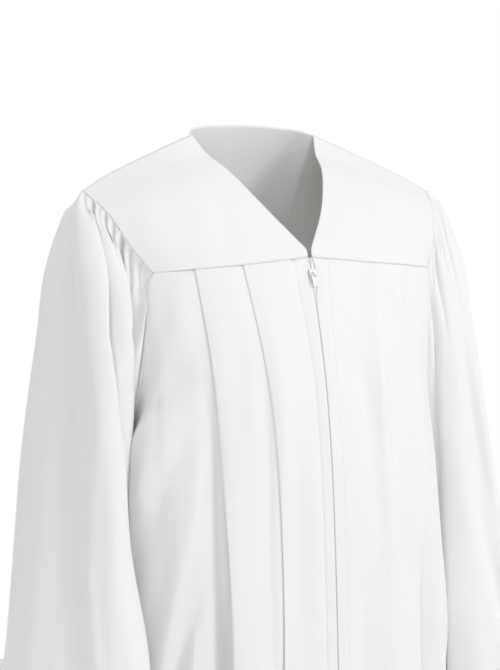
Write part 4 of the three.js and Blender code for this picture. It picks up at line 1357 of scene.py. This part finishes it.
def build_teeth():
    """Two rows of small teeth behind the front edges, meshed in the middle below the slider."""
    for side, word in SIDE_WORD.items():
        shift = 0 if side == RIGHT else TEETH["pitch"] / 2
        heights = np.arange(TEETH["top"] - shift, TEETH["foot"], -TEETH["pitch"])
        middle = outline(side, "front", math.pi / 2, heights)
        middle[:, 1] += CLOTH + TEETH["behind"]
        near, far = -TEETH["mesh"], TEETH["width"] - TEETH["mesh"]
        across = (near, far) if side == LEFT else (-far, -near)
        corners = np.array([[x, y, z] for x in across for y in (-TEETH["depth"] / 2, TEETH["depth"] / 2)
                            for z in (-TEETH["height"] / 2, TEETH["height"] / 2)])
        box = np.array([[0, 1, 3, 2], [4, 6, 7, 5], [0, 4, 5, 1], [2, 3, 7, 6], [0, 2, 6, 4], [1, 5, 7, 3]])
        points = (middle[:, None] + corners[None]).reshape(-1, 3)
        faces = (np.arange(len(heights))[:, None, None] * 8 + box[None]).reshape(-1, 4)
        piece = make_mesh(f"robe_zip_teeth_{word}", points, faces)
        piece.data.polygons.foreach_set("use_smooth", np.zeros(len(piece.data.polygons), bool))
        piece.data.materials.append(MATERIALS["teeth"])
        edge = piece.modifiers.new("bevel", "BEVEL")
        edge.width = 0.2 * MM
        edge.segments = 1
        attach(piece, "root")


# ---- Stage, light and camera ----

def build_stage():
    """A plain pale floor under the hem."""
    bpy.ops.mesh.primitive_circle_add(vertices=96, radius=3.6, fill_type="NGON", location=(0, 0, 0))
    floor = bpy.context.object
    floor.name = "floor"
    floor.data.transform(Matrix.Translation((0, 0, (HEM_Z - 60) * MM)))
    floor.data.materials.append(grained_material("floor", (0.82, 0.82, 0.82), 40, 0.1, (0.85, 0.95)))
    floor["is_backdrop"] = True


def build_camera():
    """A camera at the photograph's angle: from the wearer's right front, a little above."""
    azimuth, elevation, distance = math.radians(-28), math.radians(4), 2.4
    right = Vector((math.cos(azimuth), math.sin(azimuth), 0))
    forward = Vector((-math.sin(azimuth) * math.cos(elevation), math.cos(azimuth) * math.cos(elevation),
                      -math.sin(elevation)))
    look = Vector((0, 0, -0.22)) - right * 0.0132
    data = bpy.data.cameras.new("camera")
    data.sensor_fit = "VERTICAL"
    data.sensor_height = 24
    data.lens = 24 * 2181.8 / 670
    camera = bpy.data.objects.new("camera", data)
    camera.location = look - forward * distance
    camera.rotation_euler = forward.to_track_quat("-Z", "Y").to_euler()
    bpy.context.scene.collection.objects.link(camera)
    bpy.context.scene.camera = camera


AMBIENT = 0.8
# Name, place in metres, width and watts
LAMPS = (
    ("key", (1.15, -2.6, 1.1), 0.9, 30.5),
    ("fill", (-1.5, -2.5, 1.0), 1.4, 9),
)


def build_light():
    """A white studio with one soft key light from the front left of the robe and a weak fill."""
    scene = bpy.context.scene
    scene.view_settings.view_transform = "Standard"
    world = bpy.data.worlds.new("studio")
    world.use_nodes = True
    nodes, links = world.node_tree.nodes, world.node_tree.links
    background = nodes["Background"]
    background.inputs["Color"].default_value = (1, 1, 1, 1)
    # The sweep behind the robe is white; what lights the cloth is softer
    rays = nodes.new("ShaderNodeLightPath")
    level = nodes.new("ShaderNodeMapRange")
    level.inputs["To Min"].default_value = AMBIENT
    level.inputs["To Max"].default_value = 1.0
    links.new(rays.outputs["Is Camera Ray"], level.inputs["Value"])
    links.new(level.outputs["Result"], background.inputs["Strength"])
    scene.world = world
    for name, place, size, energy in LAMPS:
        data = bpy.data.lights.new(name, "AREA")
        data.shape = "DISK"
        data.size = size
        data.energy = energy
        lamp = bpy.data.objects.new(name, data)
        lamp.location = place
        lamp.rotation_euler = (Vector((0, 0, -0.5)) - lamp.location).to_track_quat("-Z", "Y").to_euler()
        scene.collection.objects.link(lamp)


cloth = build_cloth()
declare_sheets(cloth)
build_tapes()
build_zip()
build_sewing(SLEEVES)
build_stage()
build_light()
build_camera()

low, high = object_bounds()
now = [[round(v, 5) for v in corner] for corner in (low, high)]
